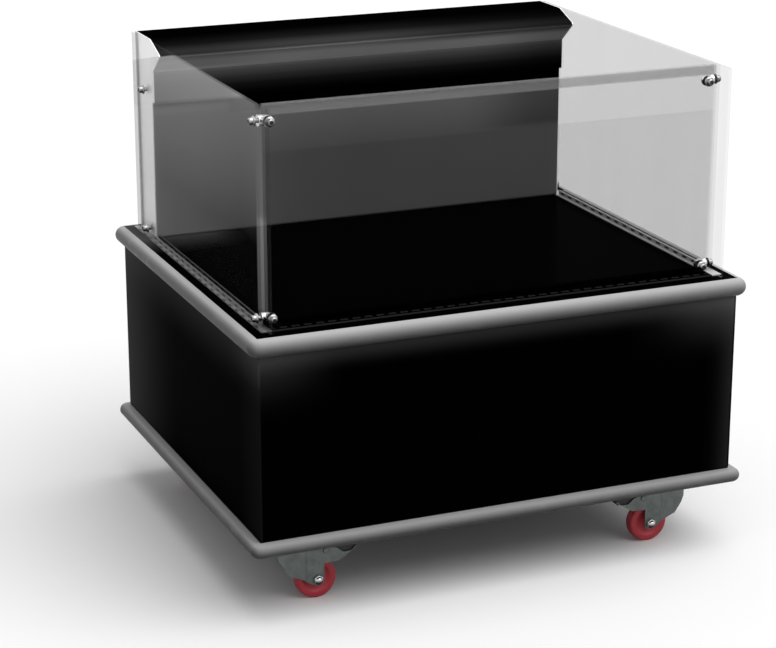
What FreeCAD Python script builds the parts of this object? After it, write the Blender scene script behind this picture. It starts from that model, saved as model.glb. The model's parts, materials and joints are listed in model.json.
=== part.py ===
import FreeCAD, Part
import math
import os

from FreeCAD import Vector

# Grab-and-go merchandiser on castors: refrigerated base, black deck, three glass
# sides and a rear air column with a hood. Millimetres, floor at z = 0, front at -Y.

# Cabinet
cab_w = 914.0
cab_d = 763.0
panel_h = 333.0
sheet = 2.0
bend = 2.0
flange = 16.0
panel_gap = 0.4

# Bumpers
lower_bumper_h = 24.0
lower_bumper_out = 20.0
upper_bumper_h = 32.0
upper_bumper_out = 18.0
bumper_corner = 6.0
bumper_steps = 6
corner_steps = 3

# Base frame, pan and posts
frame_h = 14.0
frame_t = 2.5
frame_inset = 34.0
rail_w = 44.0
cross_x = 150.0
pan_t = 1.5
post_leg = 30.0
post_t = 3.0
post_inset = 20.0
post_clear = 1.0
gusset_margin = 5.0
vent_len = 180.0
vent_w = 8.0
vent_pitch = 24.0
vent_rows = 7

# Top rim, deck and insulated tank
rim_side = 36.0
rim_front = 64.0
ledge_w = 12.0
ledge_lap = 10.0
deck_gap = 1.0
deck_skirt = 18.0
tank_depth = 108.0
tank_wall = 28.0

# Glass and its channels
glass_h = 382.0
glass_t = 6.0
glass_inset = 24.5
side_glass_front = 8.0
front_glass_set = 50.0
front_glass_gap = 3.0
glass_gap = 0.3
glass_edge = 0.8
channel_t = 2.0
channel_wall_h = 10.0
channel_lip_out = 5.0
channel_lip_in = 3.0
wall_clear = 5.0
strip_lip_out = 20.7
side_slot_pitch = 33.0
side_slot_len = 14.0
side_slot_w = 2.5
front_slot_pitch = 22.0
front_slot_len = 14.0
front_slot_w = 3.0
front_slot_set = 39.0
trim_h = 18.0
trim_t = 2.0

# Glass clamps
clamp_set_side = 46.0
clamp_set_front = 66.0
clamp_r = 9.0
clamp_below_top = 30.0
clamp_above_deck = 14.0
pad_r = 11.0
pad_t = 4.0
screw_head_r = 7.0
screw_head_h = 6.0
screw_r = 4.0
screw_hole_r = 5.2
rear_screw_set = 67.0
rear_screw_below_top = 99.0
screw_sides = 8
pad_rim = 2.4
head_taper = 3.0
clamp_ease = 5.0

# Rear column and hood
column_rear_set = 12.0
column_d = 96.5
column_panel_below_top = 45.0
lip_gap = 8.0
lip_h = 58.0
under_below_top = 60.0
nose_reach = 47.0
nose_below_top = 22.0
hood_top_d = 92.0
hood_rear_h = 24.0
cap_t = 2.0
cap_gap = 1.0
duct_margin = 28.0
duct_d = 62.0
column_shelf = 6.0
tank_lap = 1.0
tank_clear = 2.0

# Castors
castor_set_side = 94.0
castor_set_front = 76.5
wheel_d = 75.0
wheel_sides = 20
castor_over = 37.0
tread_w = 22.0
tread_depth = 11.0
trail = 32.0
plate_x = 92.0
plate_y = 67.0
plate_t = 3.0
plate_corner = 8.0
plate_bolts_x = 75.0
plate_bolts_y = 45.0
castor_bolt_hole = 9.0
race_r = 24.0
race_sides = 8
race_h = 6.0
kingpin_r = 4.0
kingpin_end = 2.0
running_gap = 0.05
end_gap = 0.3
fork_t = 2.5
fork_half = 18.0
fork_front = 41.0
fork_boss_r = 12.0
fork_back = 30.0
guard_reach = 73.0
fork_joggle = 1.5
joggle_ahead = 21.0
nose_ease = 8.0
hole_sides = 8
axle_r = 4.0
nut_flats = 16.0
nut_h = 5.0
hub_r = 10.0
web_half = 5.0
fit_gap = 0.05
pedal_pin_r = 2.5
pedal_pivot_back = 16.0
pedal_pivot_drop = 12.7
pedal_len = 58.0
pedal_t = 13.0
pedal_hub_r = 6.5
pedal_rib = 4.6
pedal_ribs = 3
pedal_neck = 23.0
tread_round = 2.5
cap_dome = 4.5
cap_r = 7.2
cap_sides = 8

# Refrigeration
louvre_len = 300.0
louvre_h = 11.0
louvre_out = 7.0
louvre_pitch = 30.0
louvre_rows = 6
louvre_mid = 90.0
louvre_up = 30.0
louvre_wall = 4.0
comp_r = 72.0
comp_h = 185.0
comp_dome = 30.0
comp_plate = 3.0
comp_side = 257.0
comp_sides = 24
comp_rear = 301.5
comp_foot_x = 200.0
comp_foot_y = 170.0
coil_d = 40.0
coil_h = 200.0
coil_fin_pitch = 40.0
coil_fin_gap = 20.0
coil_fin_depth = 8.0
coil_end = 3.0
coil_raise = 8.0
cond_w = 320.0
cond_fan_r = 84.0
cond_from_rear = 55.0
shroud_d = 28.0
tip_gap = 6.0
evap_w = 520.0
evap_d = 110.0
evap_h = 80.0
evap_fan_r = 34.0
shaft_r = 4.0
blades = 5
blade_t = 2.0
blade_pitch = 28.0
blade_chord = 0.5
hub_sides = 12
motor_sides = 12
mouth_sides = 24
arm_w = 6.0
motor_set = 8.0
shaft_l = 20.0
hub_set = 1.5
cond_motor_r = 32.0
cond_motor_l = 44.0
cond_hub_r = 22.0
cond_hub_l = 18.0
evap_motor_r = 18.0
evap_motor_l = 28.0
evap_hub_r = 12.0
evap_hub_l = 14.0
evap_tip_gap = 3.0
evap_raise = 4.0
evap_y0 = 60.0
evap_duct = 36.0
drain_set = 121.5
drain_w = 260.0
drain_d = 180.0
drain_h = 25.0
control_w = 110.0
control_h = 60.0
control_d = 38.0
knob_r = 16.0
knob_h = 13.0
rocker_r = 11.0
rocker_w = 16.0
rocker_gap = 0.4
rocker_depth = 5.0
rocker_face = 48.0
trunnion_r = 1.8
trunnion_l = 2.5
neck_wall = 6.0
neck_depth = 12.0
bezel_lip = 4.0
bezel_t = 3.0
control_up = 180.0
rocker_x = -25.0
knob_x = 25.0
knob_shaft_r = 3.0
knob_shaft_l = 18.0
shaft_room = 2.0
knob_sides = 16
pointer_w = 1.6
gland_up = 50.0
gland_bore_r = 5.0
gland_r = 9.0
gland_flats = 22.0
gland_nut = 6.0
gland_in = 8.0
gland_sides = 12
gland_end = 4.0

# Levels and planes worked out from the sizes above
castor_h = wheel_d + castor_over
half_w = cab_w / 2
half_d = cab_d / 2
z_frame = castor_h
z_pan = z_frame + frame_h
z_panel = z_pan + lower_bumper_h
z_rim = z_panel + panel_h
z_deck = z_rim + upper_bumper_h
z_top = z_deck + glass_h
z_plate = z_deck - sheet
z_ledge = z_plate - sheet
z_tank = z_ledge - tank_depth
z_tank_low = z_tank - tank_wall
y_front = -half_d
y_column_rear = half_d - column_rear_set
y_column = y_column_rear - column_d
y_lip = y_column - lip_gap - sheet
x_glass = half_w - glass_inset
x_glass_in = x_glass - glass_t
y_glass = y_front + front_glass_set
y_glass_in = y_glass + glass_t
x_open = half_w - rim_side
y_open_front = y_front + rim_front
y_open_rear = y_column - column_shelf
x_cap = x_glass_in - cap_gap
x_column = x_cap - cap_t
z_clamp_low = z_deck + clamp_above_deck
z_clamp_high = z_top - clamp_below_top
z_under = z_top - under_below_top
z_lip = z_under - lip_h
z_hood_rear = z_top - hood_rear_h
wheel_r = wheel_d / 2

os.makedirs("parts", exist_ok=True)


def save(node, *solids):
    shape = solids[0]
    if len(solids) > 1:
        shape = Part.makeCompound(list(solids))
    shape.exportStep("parts/" + node + ".step")


def box(x0, x1, y0, y1, z0, z1):
    return Part.makeBox(x1 - x0, y1 - y0, z1 - z0, Vector(x0, y0, z0))


def rod(radius, start, end):
    line = end - start
    return Part.makeCylinder(radius, line.Length, start, line)


def fuse(first, *others):
    return first.fuse(list(others)).removeSplitter()


def cut(body, tools):
    return body.cut(Part.makeCompound(tools))


def point_on(axis, along, a, b):
    if axis == "x":
        return Vector(along, a, b)
    if axis == "y":
        return Vector(a, along, b)
    return Vector(a, b, along)


def outline_face(outline, axis, start):
    corners = [point_on(axis, start, a, b) for a, b in outline]
    return Part.Face(Part.makePolygon(corners + corners[:1]))


def prism(outline, axis, start, end):
    run = point_on(axis, end, 0, 0) - point_on(axis, start, 0, 0)
    return outline_face(outline, axis, start).extrude(run)


def turned(outline, axis, sides):
    """Outline of (radius, height) points carried round the Y or the Z axis in flat sides."""
    def ring(radius, height, i):
        if radius == 0:
            return [point_on(axis, height, 0, 0)]
        pair = []
        for k in (i, (i + 1) % sides):
            angle = 2 * math.pi * k / sides
            pair.append(point_on(axis, height, radius * math.cos(angle), radius * math.sin(angle)))
        return pair

    faces = []
    for low, high in zip(outline, outline[1:] + outline[:1]):
        for i in range(sides):
            corners = ring(*low, i) + ring(*high, i)[::-1]
            if len(corners) > 2:
                faces.append(Part.Face(Part.makePolygon(corners + corners[:1])))
    shell = Part.makeShell(faces)
    shell.sewShape()
    solid = Part.makeSolid(shell)
    if solid.Volume < 0:
        solid.reverse()
    return solid.removeSplitter()


def eased(before, corner, after, radius):
    """Two straight steps in place of a sharp corner, tangent to a curve of the given radius."""
    def unit(p, q):
        length = math.hypot(q[0] - p[0], q[1] - p[1])
        return ((q[0] - p[0]) / length, (q[1] - p[1]) / length)

    back = unit(corner, before)
    ahead = unit(corner, after)
    half = math.acos(back[0] * ahead[0] + back[1] * ahead[1]) / 2
    reach = radius / math.tan(half)
    dip = radius / math.sin(half) - radius
    way = unit((0, 0), (back[0] + ahead[0], back[1] + ahead[1]))
    return [(corner[0] + back[0] * reach, corner[1] + back[1] * reach),
            (corner[0] + way[0] * dip, corner[1] + way[1] * dip),
            (corner[0] + ahead[0] * reach, corner[1] + ahead[1] * reach)]


def folded(path, axis, start, end, thickness=sheet, inner=bend):
    """Bent sheet: the path is one face of the sheet and the thickness lies on its left."""
    def left_of(p, q):
        length = math.hypot(q[0] - p[0], q[1] - p[1])
        return (-(q[1] - p[1]) / length, (q[0] - p[0]) / length)

    def shift(p, n, d):
        return (p[0] + n[0] * d, p[1] + n[1] * d)

    face_side = [path[0]]
    left_side = [shift(path[0], left_of(path[0], path[1]), thickness)]
    for before, corner, after in zip(path, path[1:], path[2:]):
        n1 = left_of(before, corner)
        n2 = left_of(corner, after)
        turns_left = n1[0] * n2[1] - n1[1] * n2[0] > 0
        face_r = inner + thickness if turns_left else inner
        left_r = inner if turns_left else inner + thickness
        share = thickness / (1 + n1[0] * n2[0] + n1[1] * n2[1])
        other = (corner[0] + (n1[0] + n2[0]) * share, corner[1] + (n1[1] + n2[1]) * share)
        face_side += eased(before, corner, after, face_r)
        left_side += eased(shift(before, n1, thickness), other, shift(after, n2, thickness), left_r)
    face_side.append(path[-1])
    left_side.append(shift(path[-1], left_of(path[-2], path[-1]), thickness))
    return prism(face_side + left_side[::-1], axis, start, end)


def spread(first, last, pitch):
    """Places at a steady pitch, centred between two limits."""
    count = int((last - first) // pitch) + 1
    start = (first + last - (count - 1) * pitch) / 2
    return [start + pitch * i for i in range(count)]


def bar(reach, start, end, sides):
    """Straight bar between two points, many-sided, with its corners at the given reach."""
    line = end - start
    unit = Vector(line)
    unit.normalize()
    first = Vector(0, 0, 1) if abs(unit.z) < 0.5 else Vector(1, 0, 0)
    second = unit.cross(first)
    corners = []
    for i in range(sides):
        angle = 2 * math.pi * i / sides
        corners.append(start + first * (reach * math.cos(angle)) + second * (reach * math.sin(angle)))
    return Part.Face(Part.makePolygon(corners + corners[:1])).extrude(line)


def hexagon(flats, start, end):
    return bar(flats / math.sqrt(3), start, end, 6)


def drilling(radius, start, end):
    """Tool for a hole that clears a round bar of the given radius."""
    return bar(radius / math.cos(math.pi / hole_sides), start, end, hole_sides)


def corner_cut_plate(x0, x1, y0, y1, z0, z1, corner):
    outline = [(x0 + corner, y0), (x1 - corner, y0), (x1, y0 + corner), (x1, y1 - corner),
               (x1 - corner, y1), (x0 + corner, y1), (x0, y1 - corner), (x0, y0 + corner)]
    return prism(outline, "z", z0, z1)


# Bumpers: half-round rings pressed round the cabinet
def bumper(z0, height, out):
    radius = height / 2
    x_corner = half_w + out - radius - bumper_corner
    y_corner = half_d + out - radius - bumper_corner
    sections = []
    for step in range(bumper_steps + 1):
        lean = math.pi * step / bumper_steps
        reach = bumper_corner + radius * math.sin(lean)
        z = z0 + radius * (1 - math.cos(lean))
        points = []
        for quarter, (sx, sy) in enumerate(((1, 1), (-1, 1), (-1, -1), (1, -1))):
            for k in range(corner_steps + 1):
                angle = math.pi / 2 * (quarter + k / corner_steps)
                points.append(Vector(sx * x_corner + reach * math.cos(angle),
                                     sy * y_corner + reach * math.sin(angle), z))
        sections.append(Part.makePolygon(points + points[:1]))
    ring = Part.makeLoft(sections, True, True)
    return ring.cut(box(-half_w, half_w, -half_d, half_d, z0 - 1, z0 + height + 1))


save("lower_bumper", bumper(z_pan, lower_bumper_h, lower_bumper_out))
save("upper_bumper", bumper(z_rim, upper_bumper_h, upper_bumper_out))


# Castor places: swivel axis, the side the wheel trails to, and whether it has a brake
castors = {}
for side, sign in (("left", -1), ("right", 1)):
    for end, way in (("front", -1), ("rear", 1)):
        name = end + "_" + side
        castors[name] = {
            "x": sign * (half_w - castor_set_side),
            "y": way * (half_d - castor_set_front),
            "trail": -sign,
            "brake": end == "front",
        }


def plate_holes(castor, z0, z1):
    tools = []
    half = castor_bolt_hole / 2
    for dx in (-plate_bolts_x / 2, plate_bolts_x / 2):
        for dy in (-plate_bolts_y / 2, plate_bolts_y / 2):
            x = castor["x"] + dx
            y = castor["y"] + dy
            tools.append(box(x - half, x + half, y - half, y + half, z0, z1))
    return tools


# Base frame: C rails open to the inside, castor gussets, cross members and corner posts
def rail(axis, a0, a1, outer, way):
    """C rail whose web stands at outer and whose flanges reach the given way."""
    inner = outer + way * rail_w
    web = outer + way * frame_t
    outline = [(outer, z_frame), (inner, z_frame), (inner, z_frame + frame_t), (web, z_frame + frame_t),
               (web, z_pan - frame_t), (inner, z_pan - frame_t), (inner, z_pan), (outer, z_pan)]
    return prism(outline, axis, a0, a1)


x_rail = half_w - frame_inset
y_rail = half_d - frame_inset
gusset_x = half_w - castor_set_side - plate_x / 2 - gusset_margin
gusset_y = half_d - castor_set_front - plate_y / 2 - gusset_margin
post_out_x = half_w - post_inset
post_out_y = half_d - post_inset
all_holes = []
for castor in castors.values():
    all_holes += plate_holes(castor, z_frame - 1, z_frame + frame_t + 1)
frame_pieces = []
for way in (-1, 1):
    piece = rail("x", -x_rail, x_rail, way * y_rail, -way)
    extras = []
    for sign in (-1, 1):
        xs = sorted((sign * gusset_x, sign * (x_rail - rail_w)))
        ys = sorted((way * gusset_y, way * (y_rail - rail_w)))
        extras.append(box(xs[0], xs[1], ys[0], ys[1], z_frame, z_frame + frame_t))
    piece = fuse(piece, *extras)
    frame_pieces.append(cut(piece, all_holes))
for sign in (-1, 1):
    piece = rail("y", -(y_rail - rail_w), y_rail - rail_w, sign * x_rail, -sign)
    frame_pieces.append(cut(piece, all_holes))
    cross = rail("y", -(y_rail - rail_w), y_rail - rail_w, sign * cross_x, -sign)
    frame_pieces.append(cross)
pan_notches = []
for sign in (-1, 1):
    for way in (-1, 1):
        ox, oy = sign * post_out_x, way * post_out_y
        ix, iy = ox - sign * post_leg, oy - way * post_leg
        tx, ty = ox - sign * post_t, oy - way * post_t
        outline = [(ox, oy), (ix, oy), (ix, ty), (tx, ty), (tx, iy), (ox, iy)]
        frame_pieces.append(prism(outline, "z", z_pan, z_tank_low))
        xs = sorted((ox + sign * post_clear, ix - sign * post_clear))
        ys = sorted((oy + way * post_clear, iy - way * post_clear))
        pan_notches.append(box(xs[0], xs[1], ys[0], ys[1], z_pan - 1, z_pan + pan_t + 1))
save("base_frame", *frame_pieces)

# Base pan: folded tray with vent slots over the middle bay
pan = box(-half_w, half_w, -half_d, half_d, z_pan, z_panel)
z_floor = z_pan + pan_t
x_wall_in = half_w - pan_t
y_wall_in = half_d - pan_t
pan = pan.cut(box(-x_wall_in, x_wall_in, -y_wall_in, y_wall_in, z_floor, z_panel + 1))
vents = []
for row in range(vent_rows):
    y = (row - (vent_rows - 1) / 2) * vent_pitch
    vents.append(box(-vent_len / 2, vent_len / 2, y - vent_w / 2, y + vent_w / 2, z_pan - 1, z_floor + 1))
save("base_pan", cut(pan, vents + pan_notches))


# Skins: folded sheets, the front and rear ones covering the ends of the sides
def skin_path(way, half):
    inner = way * (half - flange)
    outer = way * half
    path = [(inner, z_rim), (outer, z_rim), (outer, z_panel), (inner, z_panel)]
    if way > 0:
        path.reverse()
    return path


def cross_skin(way):
    """Front or rear skin, its flanges notched so that the side skins pass."""
    skin = folded(skin_path(way, half_d), "x", -half_w, half_w)
    reach = half_w - sheet - panel_gap
    ys = sorted((way * (half_d - sheet), way * (half_d - 2 * flange)))
    notches = [box(-half_w - 1, -reach, ys[0], ys[1], z_panel - 1, z_rim + 1),
               box(reach, half_w + 1, ys[0], ys[1], z_panel - 1, z_rim + 1)]
    return cut(skin, notches)


def side_skin(way):
    reach = half_d - sheet - panel_gap
    skin = folded(skin_path(way, half_w), "y", -reach, reach)
    xs = sorted((way * (half_w - sheet), way * (half_w - 2 * flange)))
    clear = half_d - flange - panel_gap
    notches = [box(xs[0], xs[1], -half_d, -clear, z_panel - 1, z_rim + 1),
               box(xs[0], xs[1], clear, half_d, z_panel - 1, z_rim + 1)]
    return cut(skin, notches)


save("front_panel", cross_skin(-1))
save("left_panel", side_skin(-1))
save("right_panel", side_skin(1))

# Rear service panel: pressed louvres in two blocks, openings for gland, switch and knob
y_rear = half_d
control_z = z_panel + control_up
gland_z = z_panel + gland_up
neck_x = rocker_w / 2 + neck_wall + rocker_gap
neck_z = rocker_r + neck_wall / 2
rear = cross_skin(1)
louvre_hoods = []
louvre_cuts = []
louvre_low = z_panel + louvre_up
for row in range(louvre_rows):
    z = louvre_low + row * louvre_pitch
    for sign in (-1, 1):
        x0 = sign * (louvre_mid + louvre_len / 2) - louvre_len / 2
        slope = [(y_rear, z + louvre_h), (y_rear + louvre_out, z), (y_rear, z)]
        hood = prism(slope, "x", x0, x0 + louvre_len)
        drop = louvre_h - louvre_wall
        reach = (drop + 1) * louvre_out / louvre_h
        inner = [(y_rear - sheet - 1, z - 1), (y_rear - sheet - 1, z + drop), (y_rear, z + drop),
                 (y_rear + reach, z - 1)]
        louvre_hoods.append(hood)
        louvre_cuts.append(prism(inner, "x", x0 + sheet, x0 + louvre_len - sheet))
rear = cut(rear.fuse(louvre_hoods), louvre_cuts)
through = y_rear - sheet - 1
beyond = y_rear + 1
openings = [
    drilling(gland_r + panel_gap, Vector(0, through, gland_z), Vector(0, beyond, gland_z)),
    drilling(knob_shaft_r + 1, Vector(knob_x, through, control_z), Vector(knob_x, beyond, control_z)),
    box(rocker_x - neck_x - panel_gap, rocker_x + neck_x + panel_gap, through, beyond,
        control_z - neck_z - panel_gap, control_z + neck_z + panel_gap),
]
save("rear_service_panel", cut(rear, openings))

# Top rim: folded plate with a skirt behind the bumper, a ledge for the deck and the duct opening
rim = box(-half_w, half_w, -half_d, half_d, z_rim, z_deck)
rim = rim.cut(box(-half_w + sheet, half_w - sheet, -half_d + sheet, half_d - sheet, z_rim - 1, z_plate))
ledge = box(-x_open - ledge_lap, x_open + ledge_lap, y_open_front - ledge_lap, y_open_rear + ledge_lap,
            z_ledge, z_plate)
rim = fuse(rim, ledge)
duct_y0 = y_open_rear + ledge_lap + sheet
x_ledge = x_open - ledge_w
x_duct = x_open - duct_margin
rim_cuts = [
    box(-x_open, x_open, y_open_front, y_open_rear, z_plate, z_deck + 1),
    box(-x_ledge, x_ledge, y_open_front + ledge_w, y_open_rear - ledge_w, z_ledge - 1, z_plate),
    box(-x_duct, x_duct, duct_y0, duct_y0 + duct_d, z_ledge - 1, z_deck + 1),
]
for tool in rim_cuts:
    rim = rim.cut(tool)
save("top_rim", rim)

# Product deck: flat sheet with a turned-down skirt, resting on the ledge
dx = x_open - deck_gap
dy0 = y_open_front + deck_gap
dy1 = y_open_rear - deck_gap
sx = x_open - ledge_w - deck_gap
sy0 = y_open_front + ledge_w + deck_gap
sy1 = y_open_rear - ledge_w - deck_gap
z_skirt = z_plate - deck_skirt
deck = fuse(box(-dx, dx, dy0, dy1, z_plate, z_deck), box(-sx, sx, sy0, sy1, z_skirt, z_plate))
deck = deck.cut(box(-sx + sheet, sx - sheet, sy0 + sheet, sy1 - sheet, z_skirt - 1, z_plate))
save("product_deck", deck)

# Insulated tank under the deck, with the plenum below the column
x_tank = x_open - ledge_w + tank_lap
y_tank0 = y_open_front + ledge_w - tank_lap
y_tank1 = half_d - flange - tank_clear - tank_wall
x_tank_out = x_tank + tank_wall
tank = box(-x_tank_out, x_tank_out, y_tank0 - tank_wall, y_tank1 + tank_wall, z_tank_low, z_ledge)
tank = tank.cut(box(-x_tank, x_tank, y_tank0, y_tank1, z_tank, z_ledge + 1))
save("insulated_tank", tank)

# Glass channels on the rim
z_base = z_deck + channel_t
z_wall = z_base + channel_wall_h
x_wall_out = x_glass + glass_gap
x_wall_in = x_glass_in - glass_gap
x_lip_out = x_wall_out + channel_t + channel_lip_out
x_lip_in = x_wall_in - channel_t - channel_lip_in
x_wall = half_w - clamp_set_side - pad_r - wall_clear
y_side_front = y_glass - glass_gap - channel_t - strip_lip_out
y_wall0 = y_front + clamp_set_front + pad_r + wall_clear
y_wall1 = y_lip
y_foot = y_column - cap_gap


def span(sign, a, b):
    return sorted((sign * a, sign * b))


for side, sign in (("left", -1), ("right", 1)):
    base = box(*span(sign, x_lip_in, x_lip_out), y_side_front, y_column_rear, z_deck, z_base)
    outer = box(*span(sign, x_wall_out, x_wall_out + channel_t), y_wall0, y_wall1, z_deck, z_wall)
    inner = box(*span(sign, x_wall_in, x_wall_in - channel_t), y_wall0, y_wall1, z_deck, z_wall)
    x_room = x_cap + cap_gap / 2
    cuts = [box(*span(sign, x_lip_in - 1, x_room), y_foot, y_column_rear + 1, z_deck - 1, z_wall)]
    x_slot = sign * (x_lip_out - channel_lip_out / 2)
    margin = side_slot_pitch / 2
    for y in spread(y_side_front + margin, y_column_rear - margin, side_slot_pitch):
        cuts.append(box(x_slot - side_slot_w / 2, x_slot + side_slot_w / 2, y - side_slot_len / 2,
                        y + side_slot_len / 2, z_deck - 1, z_base + 1))
    save(side + "_glass_channel", cut(fuse(base, outer, inner), cuts))

strip_x = x_lip_in - glass_gap
y_strip1 = y_glass_in + glass_gap + channel_t + channel_lip_in
y_outer = y_glass - glass_gap
y_inner = y_glass_in + glass_gap
strip = fuse(box(-strip_x, strip_x, y_side_front, y_strip1, z_deck, z_base),
             box(-x_wall, x_wall, y_outer - channel_t, y_outer, z_deck, z_wall),
             box(-x_wall, x_wall, y_inner, y_inner + channel_t, z_deck, z_wall))
y_slot = y_front + front_slot_set
slots = []
for x in spread(-x_wall, x_wall, front_slot_pitch):
    slots.append(box(x - front_slot_len / 2, x + front_slot_len / 2, y_slot - front_slot_w / 2,
                     y_slot + front_slot_w / 2, z_deck - 1, z_base + 1))
save("front_glass_strip", cut(strip, slots))

# Glass panes with polished edges and drilled for the clamps
y_clamp = y_front + clamp_set_front
x_clamp = half_w - clamp_set_side
y_rear_screw = y_column_rear - rear_screw_set
z_rear_screw = z_top - rear_screw_below_top


def pane(x0, x1, y0, y1, z0, z1):
    sheet_of_glass = box(x0, x1, y0, y1, z0, z1)
    return sheet_of_glass.makeChamfer(glass_edge, sheet_of_glass.Edges)


side_drillings = [(y_clamp, z_clamp_low), (y_clamp, z_clamp_high), (y_rear_screw, z_clamp_low),
                  (y_rear_screw, z_rear_screw)]
for side, sign in (("left", -1), ("right", 1)):
    xs = sorted((sign * x_glass, sign * x_glass_in))
    glass = pane(xs[0], xs[1], y_front + side_glass_front, y_column_rear, z_base, z_top)
    holes = []
    for y, z in side_drillings:
        holes.append(drilling(screw_hole_r, Vector(xs[0] - 1, y, z), Vector(xs[1] + 1, y, z)))
    save(side + "_glass", cut(glass, holes))
x_front_glass = x_glass_in - front_glass_gap
glass = pane(-x_front_glass, x_front_glass, y_glass, y_glass_in, z_base, z_top - trim_t - glass_gap)
holes = []
for x in (-x_clamp, x_clamp):
    for z in (z_clamp_low, z_clamp_high):
        holes.append(drilling(screw_hole_r, Vector(x, y_glass - 1, z), Vector(x, y_glass_in + 1, z)))
save("front_glass", cut(glass, holes))
trim = box(-x_front_glass, x_front_glass, y_glass - glass_gap - trim_t, y_glass_in + glass_gap + trim_t,
           z_top - trim_h, z_top)
trim = trim.cut(box(-x_front_glass - 1, x_front_glass + 1, y_glass - glass_gap, y_glass_in + glass_gap,
                    z_top - trim_h - 1, z_top - trim_t))
save("front_glass_trim", trim)

# Corner clamps: elbows inside the glass corners, drawn up by disc screws from outside
elbows = []
for sign in (-1, 1):
    x_far = sign * (x_clamp - clamp_r)
    x_near = sign * (x_clamp + clamp_r)
    side_end = sign * x_glass_in
    plan = [(side_end, y_clamp + clamp_r), (x_far, y_clamp + clamp_r), (x_far, y_glass_in),
            (x_near, y_glass_in), (x_near, y_clamp - clamp_r), (side_end, y_clamp - clamp_r)]
    for z in (z_clamp_low, z_clamp_high):
        elbow = prism(plan, "z", z - clamp_r, z + clamp_r)
        long_edges = []
        for edge in elbow.Edges:
            middle = edge.CenterOfMass
            level = abs(middle.z - z) > clamp_r / 2
            seated = abs(middle.x - side_end) < 0.01 or abs(middle.y - y_glass_in) < 0.01
            if level and not seated:
                long_edges.append(edge)
        elbows.append(elbow.makeChamfer(clamp_ease, long_edges))
save("corner_clamps", *elbows)


def disc_screw(seat, outward, grip):
    """Disc pad with a domed screw head outside the glass and a shank through it."""
    top = pad_t + screw_head_h
    outline = [(0, -grip), (screw_r, -grip), (screw_r, 0), (pad_r, 0), (pad_r, pad_rim),
               (screw_head_r, pad_t), (screw_head_r - head_taper, top), (0, top)]
    screw = turned(outline, "z", screw_sides)
    screw.Placement = FreeCAD.Placement(seat, FreeCAD.Rotation(Vector(0, 0, 1), outward))
    return screw


screws = []
for sign in (-1, 1):
    out = Vector(sign, 0, 0)
    for z in (z_clamp_low, z_clamp_high):
        screws.append(disc_screw(Vector(sign * x_clamp, y_glass, z), Vector(0, -1, 0), glass_t))
        screws.append(disc_screw(Vector(sign * x_glass, y_clamp, z), out, glass_t))
    for z in (z_clamp_low, z_rear_screw):
        screws.append(disc_screw(Vector(sign * x_glass, y_rear_screw, z), out, glass_t + cap_gap))
save("glass_screws", *screws)

# Rear column: hood with a forward nose and a lip, front panel behind the lip's air slot, rear cover
y_break = y_column_rear - hood_top_d
y_nose = y_lip - nose_reach
z_nose = z_top - nose_below_top
hood_path = [(y_column_rear, z_hood_rear), (y_column_rear, z_top), (y_break, z_top), (y_nose, z_nose),
             (y_lip, z_under), (y_lip, z_lip)]
save("hood_cover", folded(hood_path, "x", -x_column, x_column))
z_panel_top = z_top - column_panel_below_top
front_path = [(y_column + flange, z_panel_top), (y_column, z_panel_top), (y_column, z_deck),
              (y_column + flange, z_deck)]
rear_path = [(y_column_rear - flange, z_deck), (y_column_rear, z_deck), (y_column_rear, z_hood_rear),
             (y_column_rear - flange, z_hood_rear)]
save("column_front_panel", folded(front_path, "x", -x_column, x_column))
save("column_rear_cover", folded(rear_path, "x", -x_column, x_column))
cap_path = [(y_column, z_deck), (y_column_rear, z_deck), (y_column_rear, z_top), (y_break, z_top),
            (y_nose, z_nose), (y_lip, z_under), (y_lip, z_lip), (y_column, z_lip)]
cap_outline = cap_path[:2]
for before, corner, after in zip(cap_path[1:], cap_path[2:5], cap_path[3:]):
    cap_outline += eased(before, corner, after, sheet + bend)
cap_outline += cap_path[5:]
for side, sign in (("left", -1), ("right", 1)):
    save(side + "_end_cap", prism(cap_outline, "x", *span(sign, x_column, x_cap)))

# Castors, each drawn once about its swivel axis with the wheel trailing to +X
z_plate_low = castor_h - plate_t
z_race = z_plate_low - race_h
z_crown = z_race - end_gap
z_crown_in = z_crown - fork_t
fork_in = fork_half - fork_t
hub_half = fork_in - end_gap
rim_r = wheel_r - tread_depth
pivot_u = trail + pedal_pivot_back
pivot_z = z_crown - pedal_pivot_drop
axle_at = Vector(trail, 0, wheel_r)
rise = z_crown - wheel_r
fork_long = trail + fork_front

# Fork outlines as shares of its length ahead of the axle, or of its guard behind it, and of its rise
nose_line = [(1.0, 0.9), (0.98, 0.69), (0.85, 0.44), (0.705, 0.2), (0.41, 0.065)]
guard_line = [(0.16, 0.44), (0.52, 0.46), (0.66, 0.54), (1.0, 0.78), (0.98, 0.82), (0.86, 0.7), (0.66, 0.69),
              (0.5, 0.84)]
boss_turns = (230, 262, 295, 327, 360)


def across(radius, u, z, v0, v1):
    return rod(radius, Vector(u, v0, z), Vector(u, v1, z))


def fork_plan(half, front):
    """Plan of the fork: eased nose, and cheeks that step out behind the joggle."""
    step_u = trail - joggle_ahead
    slim = half - fork_joggle
    near = nose_ease * 0.3
    side = [(front, slim - nose_ease), (front + near, slim - near), (front + nose_ease, slim),
            (step_u - fork_joggle, slim), (step_u, half), (trail + guard_reach + 1, half)]
    outline = side + [(u, -v) for u, v in reversed(side)]
    return prism(outline, "z", -1, castor_h)


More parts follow.
